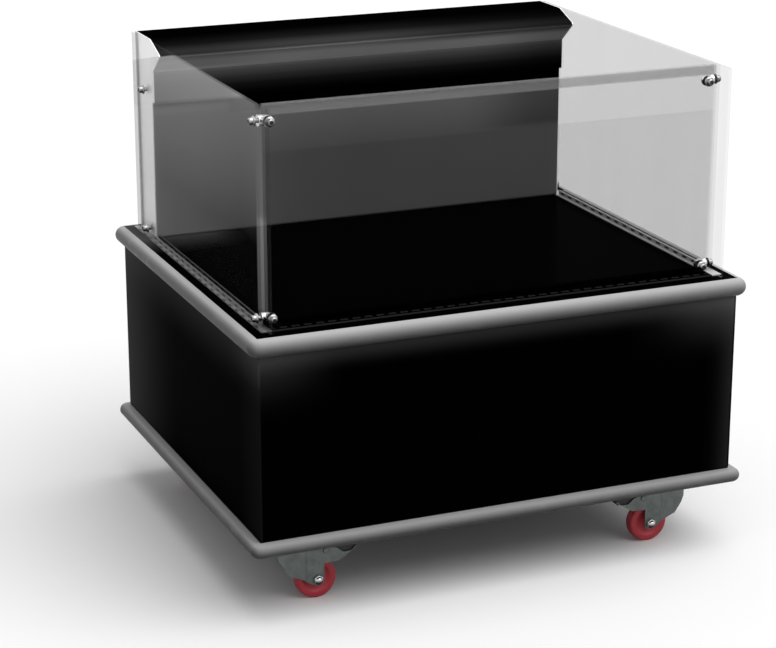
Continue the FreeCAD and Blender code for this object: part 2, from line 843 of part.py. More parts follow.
def fork(braked):
    """Pressed fork: closed nose, open below, with longer cheeks that guard the pedal when braked."""
    nose = [(trail - fork_long * a, wheel_r + rise * b) for a, b in nose_line]
    boss = []
    for turn in boss_turns:
        angle = math.radians(turn)
        boss.append((trail + fork_boss_r * math.cos(angle), wheel_r + fork_boss_r * math.sin(angle)))
    guard = [(trail + guard_reach * a, wheel_r + rise * b) for a, b in guard_line]
    rear = guard if braked else guard[:1]
    outline = [(-fork_front, z_crown)] + nose + boss + rear + [(fork_back, z_crown)]
    body = prism(outline, "y", -fork_half, fork_half).common(fork_plan(fork_half, -fork_front))
    end = trail + guard_reach + 2
    inner = [(u + fork_t, z) for u, z in nose]
    hollow = [(-fork_front + fork_t, z_crown_in)] + inner + [(inner[-1][0], -1), (end, -1), (end, castor_h),
                                                             (fork_back, castor_h), (fork_back, z_crown_in)]
    room = prism(hollow, "y", -fork_half, fork_half).common(fork_plan(fork_in, fork_t - fork_front))
    wheel_way = tread_w / 2 + (fork_in - tread_w / 2) / 2
    near = Vector(0, -fork_half - 1, 0)
    far = Vector(0, fork_half + 1, 0)
    tools = [room,
             box(-fork_front - 1, trail, -wheel_way, wheel_way, 0, wheel_r + rise * 0.3),
             drilling(kingpin_r + running_gap, Vector(0, 0, z_crown_in - 1), Vector(0, 0, z_crown + 1)),
             drilling(axle_r + fit_gap, axle_at + near, axle_at + far)]
    if braked:
        pivot = Vector(pivot_u, 0, pivot_z)
        tools.append(drilling(pedal_pin_r + running_gap, pivot + near, pivot + far))
    for tool in tools:
        body = body.cut(tool)
    return body


def castor_plate():
    half_x = plate_x / 2
    half_y = plate_y / 2
    plate = corner_cut_plate(-half_x, half_x, -half_y, half_y, z_plate_low, castor_h, plate_corner)
    plate = cut(plate, plate_holes({"x": 0, "y": 0}, z_plate_low - 1, castor_h + 1))
    race = bar(race_r, Vector(0, 0, z_race), Vector(0, 0, z_plate_low), race_sides)
    pin = rod(kingpin_r, Vector(0, 0, z_crown_in - kingpin_end), Vector(0, 0, z_race))
    return fuse(plate, race, pin)


def wheel():
    """Moulded wheel: chamfered tread, dished web and a hub that runs on the axle bolt."""
    half = tread_w / 2
    side = [(hub_r * 0.8, hub_half), (hub_r, web_half), (rim_r, half), (wheel_r - tread_round, half),
            (wheel_r, half - tread_round)]
    front = [(r, -v) for r, v in side]
    outline = [(0, -hub_half)] + front + side[::-1] + [(0, hub_half)]
    bore = drilling(axle_r + running_gap, Vector(0, -hub_half - 1, 0), Vector(0, hub_half + 1, 0))
    return turned(outline, "y", wheel_sides).cut(bore)


def axle_bolt():
    """Through bolt with a hexagon head at the rear and a domed cap nut at the front."""
    shank = across(axle_r, 0, 0, -fork_half, fork_half)
    nut = hexagon(nut_flats, Vector(0, -fork_half - nut_h, 0), Vector(0, -fork_half, 0))
    head = hexagon(nut_flats, Vector(0, fork_half, 0), Vector(0, fork_half + nut_h, 0))
    seat = -fork_half - nut_h
    crest = seat - cap_dome
    dome = [(0, seat), (cap_r, seat), (cap_r * 0.82, seat - cap_dome * 0.6), (cap_r * 0.4, crest),
            (0, crest)]
    return fuse(shank, nut, head, turned(dome, "y", cap_sides))


def brake_pedal():
    """Foot lever on a cross pin between the cheeks, with a turned-up ribbed foot."""
    lever_half = fork_in - end_gap
    near = Vector(pivot_u, -lever_half, pivot_z)
    hub = bar(pedal_hub_r, near, Vector(pivot_u, lever_half, pivot_z), cap_sides)
    pin = across(pedal_pin_r, pivot_u, pivot_z, -fork_half, fork_half)
    foot_u = pivot_u + pedal_neck
    tip_u = pivot_u + pedal_len
    top = pivot_z + pedal_hub_r * 0.9
    low = top - pedal_t
    outline = [(pivot_u, top), (pivot_u, low), (tip_u - pedal_rib, low), (tip_u, top - pedal_rib)]
    for k in range(pedal_ribs):
        crest = tip_u - pedal_rib * (2 * k + 1)
        outline += [(crest, top), (crest - pedal_rib, top - pedal_rib / 2)]
    outline.append((foot_u, top))
    lever = prism(outline, "y", -lever_half, lever_half)
    return fuse(hub, pin, lever)


def place(shape, castor):
    if castor["trail"] < 0:
        placed = shape.mirror(Vector(0, 0, 0), Vector(1, 0, 0))
    else:
        placed = shape.copy()
    placed.translate(Vector(castor["x"], castor["y"], 0))
    return placed


forks = {True: fork(True), False: fork(False)}
plate = castor_plate()
rolling = wheel()
bolt = axle_bolt()
rolling.translate(axle_at)
bolt.translate(axle_at)
pedal = brake_pedal()
for name, castor in castors.items():
    save(name + "_castor_plate", place(plate, castor))
    save(name + "_castor_fork", place(forks[castor["brake"]], castor))
    save(name + "_wheel", place(rolling, castor))
    save(name + "_axle_bolt", place(bolt, castor))
    if castor["brake"]:
        save(name + "_brake_pedal", place(pedal, castor))

# Compressor on its mounting plate
comp_x = half_w - comp_side
comp_y = half_d - comp_rear
z_can = z_floor + comp_plate
z_brim = z_can + comp_h - comp_dome
pot = turned([(0, z_can), (comp_r, z_can), (comp_r, z_brim), (comp_r * 0.8, z_brim + comp_dome * 0.65),
              (comp_r * 0.4, z_brim + comp_dome), (0, z_brim + comp_dome)], "z", comp_sides)
pot.translate(Vector(comp_x, comp_y, 0))
foot = corner_cut_plate(comp_x - comp_foot_x / 2, comp_x + comp_foot_x / 2, comp_y - comp_foot_y / 2,
                        comp_y + comp_foot_y / 2, z_floor, z_can, plate_corner)
save("compressor", fuse(foot, pot))


def finned_coil(x0, x1, y0, y1, z0, z1, z_foot):
    """Coil block grooved into fins front and rear, between end plates that stand on the floor."""
    block = box(x0 + coil_end, x1 - coil_end, y0, y1, z0, z1)
    grooves = []
    for x in spread(x0 + 2 * coil_fin_pitch, x1 - 2 * coil_fin_pitch, coil_fin_pitch):
        for edge in (y0, y1):
            grooves.append(box(x - coil_fin_gap / 2, x + coil_fin_gap / 2, edge - coil_fin_depth,
                               edge + coil_fin_depth, z0 - 1, z1 + 1))
    block = cut(block, grooves)
    ends = [box(x0, x0 + coil_end, y0, y1, z_foot, z1), box(x1 - coil_end, x1, y0, y1, z_foot, z1)]
    return fuse(block, *ends)


def fan_blade(centre, seat, radius, hub_radius, hub_l):
    """Propeller on the motor's shaft: hub with a bore and flat pitched blades."""
    hub = bar(hub_radius, Vector(0, 0, -hub_l / 2), Vector(0, 0, hub_l / 2), hub_sides)
    chord = min(radius * blade_chord, hub_l * 0.9 / math.sin(math.radians(blade_pitch)))
    vanes = []
    for i in range(blades):
        vane = box(hub_radius * 0.7, radius, -chord / 2, chord / 2, -blade_t / 2, blade_t / 2)
        vane.rotate(Vector(0, 0, 0), Vector(1, 0, 0), blade_pitch)
        vane.rotate(Vector(0, 0, 0), Vector(0, 0, 1), 360.0 / blades * i)
        vanes.append(vane)
    bore = drilling(shaft_r + running_gap, Vector(0, 0, -hub_l), Vector(0, 0, hub_l))
    wheel = hub.fuse(vanes).removeSplitter().cut(bore)
    wheel.rotate(Vector(0, 0, 0), Vector(1, 0, 0), 90)
    wheel.translate(centre + Vector(0, seat + pan_t + hub_l / 2 + hub_set, 0))
    return wheel


def fan_motor(centre, seat, radius, length, arm_r):
    """Motor can with a shaft and three arms that reach the panel around the fan opening."""
    end = seat - motor_set
    can = bar(radius, Vector(0, end - length, 0), Vector(0, end, 0), motor_sides)
    shaft = rod(shaft_r, Vector(0, end, 0), Vector(0, seat + shaft_l, 0))
    arms = []
    for i in range(3):
        arm = fuse(box(radius * 0.7, arm_r, end - arm_w, end, -arm_w / 2, arm_w / 2),
                   box(arm_r - arm_w, arm_r, end - arm_w, seat, -arm_w / 2, arm_w / 2))
        arm.rotate(Vector(0, 0, 0), Vector(0, 1, 0), 90 + 120 * i)
        arms.append(arm)
    motor = fuse(can, shaft, *arms)
    motor.translate(centre)
    return motor


# Condensing set: coil behind the louvres, shroud, motor on arms, propeller
cond_x0 = -louvre_mid - louvre_len / 2 - cond_w / 2
cond_x1 = cond_x0 + cond_w
cond_y1 = y_rear - sheet - cond_from_rear
cond_y0 = cond_y1 - coil_d
cond_z0 = z_floor + coil_raise
cond_z1 = cond_z0 + coil_h
cond_mid = Vector((cond_x0 + cond_x1) / 2, 0, (cond_z0 + cond_z1) / 2)
y_seat = cond_y0 - shroud_d
save("condenser_coil", finned_coil(cond_x0, cond_x1, cond_y0, cond_y1, cond_z0, cond_z1, z_floor))
shroud = box(cond_x0, cond_x1, y_seat, cond_y0, cond_z0, cond_z1)
shroud = shroud.cut(box(cond_x0 + pan_t, cond_x1 - pan_t, y_seat + pan_t, cond_y0 + 1, cond_z0 + pan_t,
                        cond_z1 - pan_t))
mouth_r = cond_fan_r + tip_gap
mouth = bar(mouth_r, cond_mid + Vector(0, y_seat - 1, 0), cond_mid + Vector(0, cond_y0, 0), mouth_sides)
save("condenser_fan_shroud", shroud.cut(mouth))
save("condenser_fan_motor", fan_motor(cond_mid, y_seat, cond_motor_r, cond_motor_l, mouth_r + arm_w))
save("condenser_fan_blade", fan_blade(cond_mid, y_seat, cond_fan_r, cond_hub_r, cond_hub_l))

# Drain pan under the cooling set's outlet
dx0 = comp_x - drain_w / 2
dx1 = comp_x + drain_w / 2
dy0 = y_front + drain_set
dy1 = dy0 + drain_d
drain = box(dx0, dx1, dy0, dy1, z_floor, z_floor + drain_h)
save("drain_pan", drain.cut(box(dx0 + pan_t, dx1 - pan_t, dy0 + pan_t, dy1 - pan_t, z_floor + pan_t,
                                z_floor + drain_h + 1)))

# Cooling set under the deck: coil, ducted fan panel with its motor, propeller
evap_x = evap_w / 2
evap_y1 = evap_y0 + evap_d
evap_z1 = z_tank + evap_h
evap_mid = Vector(0, 0, z_tank + evap_h / 2)
y_duct = evap_y0 - evap_duct
save("evaporator_coil", finned_coil(-evap_x, evap_x, evap_y0, evap_y1, z_tank + evap_raise, evap_z1, z_tank))
duct_path = [(evap_y0, evap_z1), (y_duct, evap_z1), (y_duct, z_tank), (evap_y0, z_tank)]
duct = folded(duct_path, "x", -evap_x, evap_x, pan_t)
mouth_r = evap_fan_r + evap_tip_gap
mouth = bar(mouth_r, evap_mid + Vector(0, y_duct - 1, 0), evap_mid + Vector(0, y_duct + pan_t + 1, 0),
            mouth_sides)
motor = fan_motor(evap_mid, y_duct, evap_motor_r, evap_motor_l, mouth_r + arm_w / 2)
save("evaporator_fan_panel", duct.cut(mouth), motor)
save("evaporator_fan_blade", fan_blade(evap_mid, y_duct, evap_fan_r, evap_hub_r, evap_hub_l))

# Controls behind the rear panel: box with a framed rocker well, rocker, knob, cable gland
y_in = y_rear - sheet
rocker_y = y_rear - rocker_depth
half_h = control_h / 2
housing = box(-control_w / 2, control_w / 2, y_in - control_d, y_in, control_z - half_h, control_z + half_h)
neck = box(rocker_x - neck_x, rocker_x + neck_x, y_in, y_rear, control_z - neck_z, control_z + neck_z)
frame = box(rocker_x - neck_x - bezel_lip, rocker_x + neck_x + bezel_lip, y_rear, y_rear + bezel_t,
            control_z - neck_z - bezel_lip, control_z + neck_z + bezel_lip)
housing = fuse(housing, neck, frame)
well_x = rocker_w / 2 + rocker_gap
well_z = rocker_r + rocker_gap
well = box(rocker_x - well_x, rocker_x + well_x, y_rear - neck_depth - rocker_r, y_rear + bezel_t + 1,
           control_z - well_z, control_z + well_z)
bearing_x = well_x + trunnion_l + rocker_gap
bearings = drilling(trunnion_r + running_gap, Vector(rocker_x - bearing_x, rocker_y, control_z),
                    Vector(rocker_x + bearing_x, rocker_y, control_z))
bore = drilling(knob_shaft_r + running_gap, Vector(knob_x, y_in - knob_shaft_l - shaft_room, control_z),
                Vector(knob_x, y_in + 1, control_z))
for tool in (well, bearings, bore):
    housing = housing.cut(tool)
save("control_box", housing)
spread_angle = math.radians(rocker_face)
tip = (rocker_y + rocker_r * math.cos(spread_angle), rocker_r * math.sin(spread_angle))
heel = (rocker_y - rocker_r * math.cos(spread_angle), rocker_r * 0.55)
outline = [(heel[0], control_z - heel[1]), (tip[0], control_z - tip[1]),
           (rocker_y + rocker_r * 0.55, control_z), (tip[0], control_z + tip[1]),
           (heel[0], control_z + heel[1])]
rocker = prism(outline, "x", rocker_x - rocker_w / 2, rocker_x + rocker_w / 2)
pivot = rod(trunnion_r, Vector(rocker_x - rocker_w / 2 - rocker_gap - trunnion_l, rocker_y, control_z),
            Vector(rocker_x + rocker_w / 2 + rocker_gap + trunnion_l, rocker_y, control_z))
save("rocker_switch", fuse(rocker, pivot))
knob_y = y_rear + end_gap
knob_end = knob_y + knob_h
flare = knob_h * 0.25
skirt = [(0, knob_y), (knob_r, knob_y), (knob_r - flare, knob_y + flare), (knob_r - flare, knob_end),
         (0, knob_end)]
knob = turned(skirt, "y", knob_sides)
groove = box(-pointer_w / 2, pointer_w / 2, knob_end - pointer_w, knob_end + 1, 2 * pointer_w, knob_r)
knob = knob.cut(groove)
stem = rod(knob_shaft_r, Vector(0, y_in - knob_shaft_l, 0), Vector(0, knob_y, 0))
knob = fuse(knob, stem)
knob.translate(Vector(knob_x, 0, control_z))
save("thermostat_knob", knob)
y_end = y_rear + gland_nut + gland_end
barrel = bar(gland_r, Vector(0, y_in - gland_in, gland_z), Vector(0, y_end, gland_z), gland_sides)
outer_nut = hexagon(gland_flats, Vector(0, y_rear, gland_z), Vector(0, y_rear + gland_nut, gland_z))
inner_nut = hexagon(gland_flats, Vector(0, y_in - gland_nut, gland_z), Vector(0, y_in, gland_z))
cable_way = rod(gland_bore_r, Vector(0, y_in - gland_in - 1, gland_z), Vector(0, y_end + 1, gland_z))
save("cable_gland", fuse(barrel, outer_nut, inner_nut).cut(cable_way))
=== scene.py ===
import json
import math

import bmesh
import bpy
from mathutils import Matrix, Vector


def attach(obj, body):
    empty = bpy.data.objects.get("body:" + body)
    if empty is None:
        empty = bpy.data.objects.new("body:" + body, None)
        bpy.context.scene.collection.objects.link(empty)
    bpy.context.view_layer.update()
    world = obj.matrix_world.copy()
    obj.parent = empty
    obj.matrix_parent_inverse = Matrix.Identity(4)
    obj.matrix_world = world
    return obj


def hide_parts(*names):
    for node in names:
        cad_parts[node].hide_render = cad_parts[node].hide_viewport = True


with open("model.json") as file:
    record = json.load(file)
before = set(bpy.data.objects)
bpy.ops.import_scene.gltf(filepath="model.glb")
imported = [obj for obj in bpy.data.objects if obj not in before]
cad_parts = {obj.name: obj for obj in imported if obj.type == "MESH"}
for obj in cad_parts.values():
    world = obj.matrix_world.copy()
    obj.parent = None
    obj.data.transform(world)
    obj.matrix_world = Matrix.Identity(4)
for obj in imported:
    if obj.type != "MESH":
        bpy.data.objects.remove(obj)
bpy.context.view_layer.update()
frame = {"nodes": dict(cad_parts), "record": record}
nodes = frame["nodes"]
slotOf = {part["node"]: part["material_slot"] for part in frame["record"]["subparts"]}
print("frame loaded:", len(nodes), "nodes")

mm = 0.001  # sizes of pieces are in millimetres, places in finishes in metres
case = {"halfW": 457.0, "halfD": 381.5, "top": 483.0, "corner": 6.0}  # the cabinet's panels


def grey(value):
    return (value, value, value, 1)


# A shader socket that can be used in sums and comparisons
class Wire:
    def __init__(self, graph, socket):
        self.graph = graph
        self.socket = socket

    def maths(self, operation, first, second=0.0):
        return self.graph.node("ShaderNodeMath", {"operation": operation}, {0: first, 1: second})

    def __add__(self, other):
        return self.maths("ADD", self, other)

    def __radd__(self, other):
        return self.maths("ADD", other, self)

    def __sub__(self, other):
        return self.maths("SUBTRACT", self, other)

    def __rsub__(self, other):
        return self.maths("SUBTRACT", other, self)

    def __mul__(self, other):
        return self.maths("MULTIPLY", self, other)

    def __rmul__(self, other):
        return self.maths("MULTIPLY", other, self)

    def __gt__(self, other):
        return self.maths("GREATER_THAN", self, other)

    def __lt__(self, other):
        return self.maths("LESS_THAN", self, other)

    def __abs__(self):
        return self.maths("ABSOLUTE", self)


# A node tree in which one method makes every node: settings first, then sockets
class Graph:
    def __init__(self, tree):
        self.tree = tree

    def put(self, target, socket, value):
        place = target.inputs[socket]
        if isinstance(value, Wire):
            self.tree.links.new(value.socket, place)
        else:
            place.default_value = value

    def node(self, kind, settings, sockets, output=0):
        made = self.tree.nodes.new(kind)
        for key, value in settings.items():
            if key == "stops":
                elements = made.color_ramp.elements
                while len(elements) < len(value):
                    elements.new(1.0)
                for stop, (position, shade) in zip(elements, value):
                    stop.position = position
                    stop.color = grey(shade)
            else:
                setattr(made, key, value)
        for socket, value in sockets.items():
            self.put(made, socket, value)
        return Wire(self, made.outputs[output])


# One material: its Principled shader and the patterns that feed it
class Finish(Graph):
    def __init__(self, name, **constants):
        self.material = bpy.data.materials.new(name)
        self.material.use_nodes = True
        super().__init__(self.material.node_tree)
        self.shader = self.tree.nodes["Principled BSDF"]
        self.feed(**constants)

    def feed(self, **inputs):
        for socket, value in inputs.items():
            self.put(self.shader, socket.replace("_", " "), value)
        return self.material

    def place(self):
        return self.node("ShaderNodeTexCoord", {}, {}, "Object")

    def normal(self):
        return self.node("ShaderNodeNewGeometry", {}, {}, "Normal")

    def axis(self, source, name):
        return self.node("ShaderNodeSeparateXYZ", {}, {"Vector": source}, name)

    def axes(self, names):
        return [self.axis(self.place(), name) for name in names]

    def noise(self, scale, detail=3.0, stretch=(1, 1, 1)):
        where = self.node("ShaderNodeMapping", {}, {"Vector": self.place(), "Scale": stretch})
        return self.node("ShaderNodeTexNoise", {}, {"Vector": where, "Scale": scale, "Detail": detail})

    def span(self, value, low, high):
        return self.node("ShaderNodeMapRange", {}, {"Value": value, "From Min": low, "From Max": high})

    def fade(self, value, low, high):
        return self.node("ShaderNodeMapRange", {"interpolation_type": "SMOOTHSTEP"},
                         {"Value": value, "From Min": low, "From Max": high})

    # Fades in along one axis and, where the look says so, up another
    def patch(self, along, up, look):
        share = self.fade(along, *look["along"]) * look["share"]
        return share * self.fade(up, *look["up"]) if "up" in look else share

    # Distance from the nearest of evenly spaced middles
    def repeated(self, value, halfPitch):
        return self.node("ShaderNodeMath", {"operation": "PINGPONG"}, {0: value, 1: halfPitch})

    def ramp(self, value, stops):
        return self.axis(self.node("ShaderNodeValToRGB", {"stops": stops}, {"Fac": value}), "X")

    def mix(self, factor, first, second):
        return self.node("ShaderNodeMix", {"data_type": "RGBA"}, {"Factor": factor, 6: first, 7: second}, 2)

    def bump(self, height, strength, distance):
        return self.node("ShaderNodeBump", {},
                         {"Height": height, "Strength": strength, "Distance": distance})


def squared(value):
    return value * value


def cubed(value):
    return value * value * value


# Sprayed enamel: a fine orange peel, a trace of dust, and painted light and shade where the look has some
enamelCoat = {"ior": 1.5, "peelDetail": 2.0, "peelDeep": 0.0004,
              "dustDetail": 5.0, "dustSpan": (0.5, 0.85), "dustRough": 0.5}


def enamel(name, look):
    finish = Finish(name, Specular_IOR_Level=look["gloss"], IOR=enamelCoat["ior"])
    cloud = finish.noise(look["cloudScale"])
    peel = finish.noise(look["peelScale"], enamelCoat["peelDetail"])
    dust = finish.noise(look["dustScale"], enamelCoat["dustDetail"])
    dust = finish.fade(dust, *enamelCoat["dustSpan"]) * look["dust"]
    # painted light: where a look has it, painted shade, highlights and reflections are added to the
    # enamel's own tone
    shade = look["paintedLight"](finish) + look["shade"] if "paintedLight" in look else grey(look["shade"])
    rough = cloud * look["roughSpread"] + (look["rough"] - look["roughSpread"] / 2)
    return finish.feed(Base_Color=finish.mix(dust, shade, grey(look["dustShade"])),
                       Roughness=rough + dust * enamelCoat["dustRough"],
                       Normal=finish.bump(peel, look["peel"], enamelCoat["peelDeep"]))


# Cabinet panels: a painted reflection, lighter where the bumper and the room mirror in them
panelPaintedReflectionLook = {"top": case["top"] * mm, "half": case["halfW"] * mm, "front": -case["halfD"] * mm,
             "rear": 0.38, "sheet": 0.004,
             "topReach": 0.05, "topLift": 0.085, "endReach": 0.07, "endLift": 0.026,
             "cornerReach": 0.165, "cornerDrop": 0.14, "cornerLift": 0.056,
             "rightReach": 0.24, "rightLift": 0.05,
             "rearReach": 0.33, "rearLift": 0.075, "sideReach": 0.1, "sideLift": 0.05,
             "frontReach": 0.1, "frontLift": 0.008, "foreReach": 0.17, "foreDrop": 0.06, "foreLift": 0.04}


def panelPaintedReflection(finish):
    look = panelPaintedReflectionLook
    top, half, front, rear = (look[key] for key in ("top", "half", "front", "rear"))
    across, depth, height = finish.axes("XYZ")

    def under(reach):  # 1 along the top edge, 0 that far below it
        return finish.span(height, top - reach, top)

    corner = finish.fade(abs(across), half - look["cornerReach"], half) * look["cornerLift"]
    right = finish.fade(across, half - look["rightReach"], half) * look["rightLift"]
    end = finish.span(across, half - look["endReach"], half)
    face = cubed(under(look["topReach"])) * look["topLift"] + cubed(end) * look["endLift"]
    face = face + cubed(under(look["cornerDrop"])) * (corner + right)
    back = finish.span(depth, rear - look["rearReach"], rear)
    nose = finish.span(depth, front + look["frontReach"], front)
    fore = finish.fade(depth, front + look["foreReach"], front) * under(look["foreDrop"])
    side = squared(back) * look["rearLift"] + squared(under(look["sideReach"])) * look["sideLift"]
    side = side + nose * look["frontLift"] + fore * look["foreLift"]
    flank = abs(across) > half - look["sheet"]
    return face * (1 - flank) + side * flank


# Rear panel: painted light, paler towards its top
backPaintedLightLook = {"rise": 0.004}  # the rear panel pales a little towards its top


def backPaintedLight(finish):
    return finish.axis(finish.place(), "Z") * backPaintedLightLook["rise"]


panelLook = {"shade": 0.0005, "paintedLight": panelPaintedReflection, "gloss": 0.0004, "rough": 0.34, "roughSpread": 0.1,
             "cloudScale": 6.0, "peelScale": 420.0, "peel": 0.03,
             "dustScale": 9.0, "dust": 0.02, "dustShade": 0.01}
backLook = dict(panelLook, shade=0.006, gloss=0.3, paintedLight=backPaintedLight)

# Product deck: a painted reflection, lighter at its rear left, where the bright end cap mirrors in it
deckPaintedReflectionLook = {"rear": 0.273, "reach": 0.12, "left": -0.34, "right": -0.25, "lift": 0.08}


def deckPaintedReflection(finish):
    across, depth = finish.axes("XY")
    near = finish.span(depth, deckPaintedReflectionLook["rear"] - deckPaintedReflectionLook["reach"], deckPaintedReflectionLook["rear"])
    return squared(near) * finish.fade(across, deckPaintedReflectionLook["right"], deckPaintedReflectionLook["left"]) * deckPaintedReflectionLook["lift"]


deckLook = {"shade": 0.0004, "paintedLight": deckPaintedReflection, "gloss": 0.0003, "rough": 0.2, "roughSpread": 0.06,
            "cloudScale": 5.0, "peelScale": 380.0, "peel": 0.03,
            "dustScale": 14.0, "dust": 0.02, "dustShade": 0.008}

# Slotted strip: painted highlights, a pale line on its folded front edge and round each slot
stripPaintedHighlightLook = {"edge": -0.3525, "edgeLift": 0.03, "slotY": -0.3425, "slotHalf": 0.0015, "slack": 0.0002,
             "rim": 0.0012, "rimLift": 0.035, "halfPitch": 0.011, "dashIn": 0.006, "dashOut": 0.0075}


def stripPaintedHighlight(finish):
    look = stripPaintedHighlightLook
    across, depth = finish.axes("XY")
    off = abs(depth - look["slotY"])
    rim = (off > look["slotHalf"] - look["slack"]) * (off < look["slotHalf"] + look["rim"])
    gap = finish.fade(finish.repeated(across, look["halfPitch"]), look["dashIn"], look["dashOut"])
    return (depth < look["edge"]) * look["edgeLift"] + rim * (1 - gap) * look["rimLift"]


stripLook = dict(deckLook, rough=0.3, paintedLight=stripPaintedHighlight)
chassisLook = {"shade": 0.02, "gloss": 0.2, "rough": 0.55, "roughSpread": 0.15,
               "cloudScale": 12.0, "peelScale": 300.0, "peel": 0.12,
               "dustScale": 16.0, "dust": 0.3, "dustShade": 0.08}
compressorLook = {"shade": 0.016, "gloss": 0.4, "rough": 0.38, "roughSpread": 0.12,
                  "cloudScale": 14.0, "peelScale": 260.0, "peel": 0.15,
                  "dustScale": 18.0, "dust": 0.35, "dustShade": 0.14}
motorLook = {"shade": 0.18, "gloss": 0.4, "rough": 0.45, "roughSpread": 0.1,
             "cloudScale": 20.0, "peelScale": 300.0, "peel": 0.1,
             "dustScale": 24.0, "dust": 0.3, "dustShade": 0.3}

# Column front: painted light, paler at the left; painted shade under the hood (but at the far left) and at
# its upper right; painted light just under the hood at the far left
columnPaintedLightLook = {"half": 0.424,
              "stops": [(0.0, 0.34), (0.1, 0.27), (0.2, 0.17), (0.35, 0.135), (0.5, 0.125), (1.0, 0.15)],
              "hooded": {"along": (-0.285, -0.25), "up": (0.742, 0.752), "share": 1.0},
              "nook": {"along": (0.2, 0.38), "up": (0.655, 0.675), "share": 0.5},
              "lip": {"along": (-0.2, -0.28), "up": (0.745, 0.775), "share": 0.45}}


def columnPaintedLightAndShade(finish):
    across, height = finish.axes("XZ")
    hooded, nook, lip = (finish.patch(across, height, columnPaintedLightLook[key]) for key in ("hooded", "nook", "lip"))
    shade = finish.ramp(finish.span(across, -columnPaintedLightLook["half"], columnPaintedLightLook["half"]), columnPaintedLightLook["stops"])
    return shade * (1 - hooded) * (1 - nook) * (1 + lip)


# Hood: painted light and shade, a painted highlight round its leaning nose, black towards the lip and on
# its flat top, and painted shade in patches along it
hoodPaintedLightLook = {"low": 0.779, "high": 0.897, "behind": 0.285,
            "stops": [(0.0, 0.0), (0.08, 0.002), (0.2, 0.012), (0.31, 0.05), (0.43, 0.15), (0.488, 0.28),
                      (0.492, 0.82), (0.55, 0.95), (0.67, 0.9), (0.79, 0.4), (0.812, 0.04), (0.86, 0.04),
                      (0.92, 0.009), (0.98, 0.0025), (1.0, 0.001)],
            "dim": {"along": (0.22, 0.43), "share": 0.45},
            "nose": {"along": (-0.15, -0.36), "up": (0.838, 0.846), "share": 0.35},
            "brow": {"along": (-0.05, 0.25), "up": (0.853, 0.872), "share": 0.55}}


def hoodPaintedLightAndShade(finish):
    across, depth, height = finish.axes("XYZ")
    dim, nose, brow = (finish.patch(across, height, hoodPaintedLightLook[key]) for key in ("dim", "nose", "brow"))
    shade = finish.ramp(finish.span(height, hoodPaintedLightLook["low"], hoodPaintedLightLook["high"]), hoodPaintedLightLook["stops"])
    return shade * (depth < hoodPaintedLightLook["behind"]) * (1 - dim) * (1 - nose) * (1 - brow)


columnLook = {"shade": 0.003, "gloss": 0.03, "rough": 0.36, "roughSpread": 0.08,
              "cloudScale": 7.0, "peelScale": 400.0, "peel": 0.01,
              "dustScale": 11.0, "dust": 0.04, "dustShade": 0.05}
columnFaceLook = dict(columnLook, shade=0.0, paintedLight=columnPaintedLightAndShade, gloss=0.003)
hoodLook = dict(columnLook, shade=0.0005, paintedLight=hoodPaintedLightAndShade, gloss=0.0, dust=0.0)

# Extruded vinyl bumper: finely grained, with painted light and shade, paler on top, darker on the left run
# and the lower ring
vinylLook = {"stops": [(0.0, 0.07), (0.25, 0.115), (0.5, 0.22), (0.8, 0.36), (1.0, 0.5)],
             "gloss": 0.15, "rough": 0.4,
             "leftFrom": -0.45, "leftPaintedShade": 0.64, "lowSpan": (0.3, 0.2), "lowPaintedShade": 0.28,
             "grainScale": 900.0, "grainDetail": 4.0, "grain": 0.1, "grainDeep": 0.0005, "grainRough": 0.12,
             "scuffScale": 26.0, "scuffDetail": 6.0, "scuffStretch": (1, 1, 3), "scuffSpan": (0.5, 0.78),
             "scuff": 0.12, "scuffShade": 0.4, "scuffShine": 0.08}


def bumperVinyl(name, look):
    finish = Finish(name, Specular_IOR_Level=look["gloss"])
    grain = finish.noise(look["grainScale"], look["grainDetail"])
    scuff = finish.noise(look["scuffScale"], look["scuffDetail"], look["scuffStretch"])
    scuff = finish.fade(scuff, *look["scuffSpan"])
    normal = finish.normal()
    # painted light and shade: pale on faces that look up, dark on faces that look down, darker again on the
    # left run and the lower ring
    shade = finish.ramp(finish.span(finish.axis(normal, "Z"), -1.0, 1.0), look["stops"])
    left = finish.span(finish.axis(normal, "X"), look["leftFrom"], -1.0) * look["leftPaintedShade"]
    low = finish.fade(finish.axis(finish.place(), "Z"), *look["lowSpan"]) * look["lowPaintedShade"]
    colour = finish.mix(scuff * look["scuff"], shade * (1 - left) * (1 - low), grey(look["scuffShade"]))
    rough = look["rough"] + grain * look["grainRough"] - scuff * look["scuffShine"]
    return finish.feed(Base_Color=colour, Roughness=rough,
                       Normal=finish.bump(grain, look["grain"], look["grainDeep"]))


# Toughened glass: see-through faces, faint polished edges, a wipe haze and a painted reflection of the
# room's light, glowing as a veil
def paneGlass(name, look):
    finish = Finish(name, Specular_IOR_Level=look["gloss"], IOR=look["ior"], Roughness=look["rough"],
                    Emission_Strength=1.0)
    normal = finish.normal()
    face = abs(finish.axis(normal, look["faceAxis"])) > look["faceFrom"]
    crest = (finish.axis(normal, "Z") > look["faceFrom"]) * look["crestBody"]
    haze = finish.noise(look["hazeScale"], stretch=look["hazeStretch"])
    haze = finish.fade(haze, *look["hazeSpan"]) * look["haze"]
    body, paintedReflection = look["zones"](finish, look)
    alpha = face * (body + haze) + (1 - face) * look["edgeBody"] + crest
    return finish.feed(Base_Color=finish.mix(face, look["edgeColour"], grey(look["shade"])), Alpha=alpha,
                       Emission_Color=finish.mix(face, grey(0.0), paintedReflection))


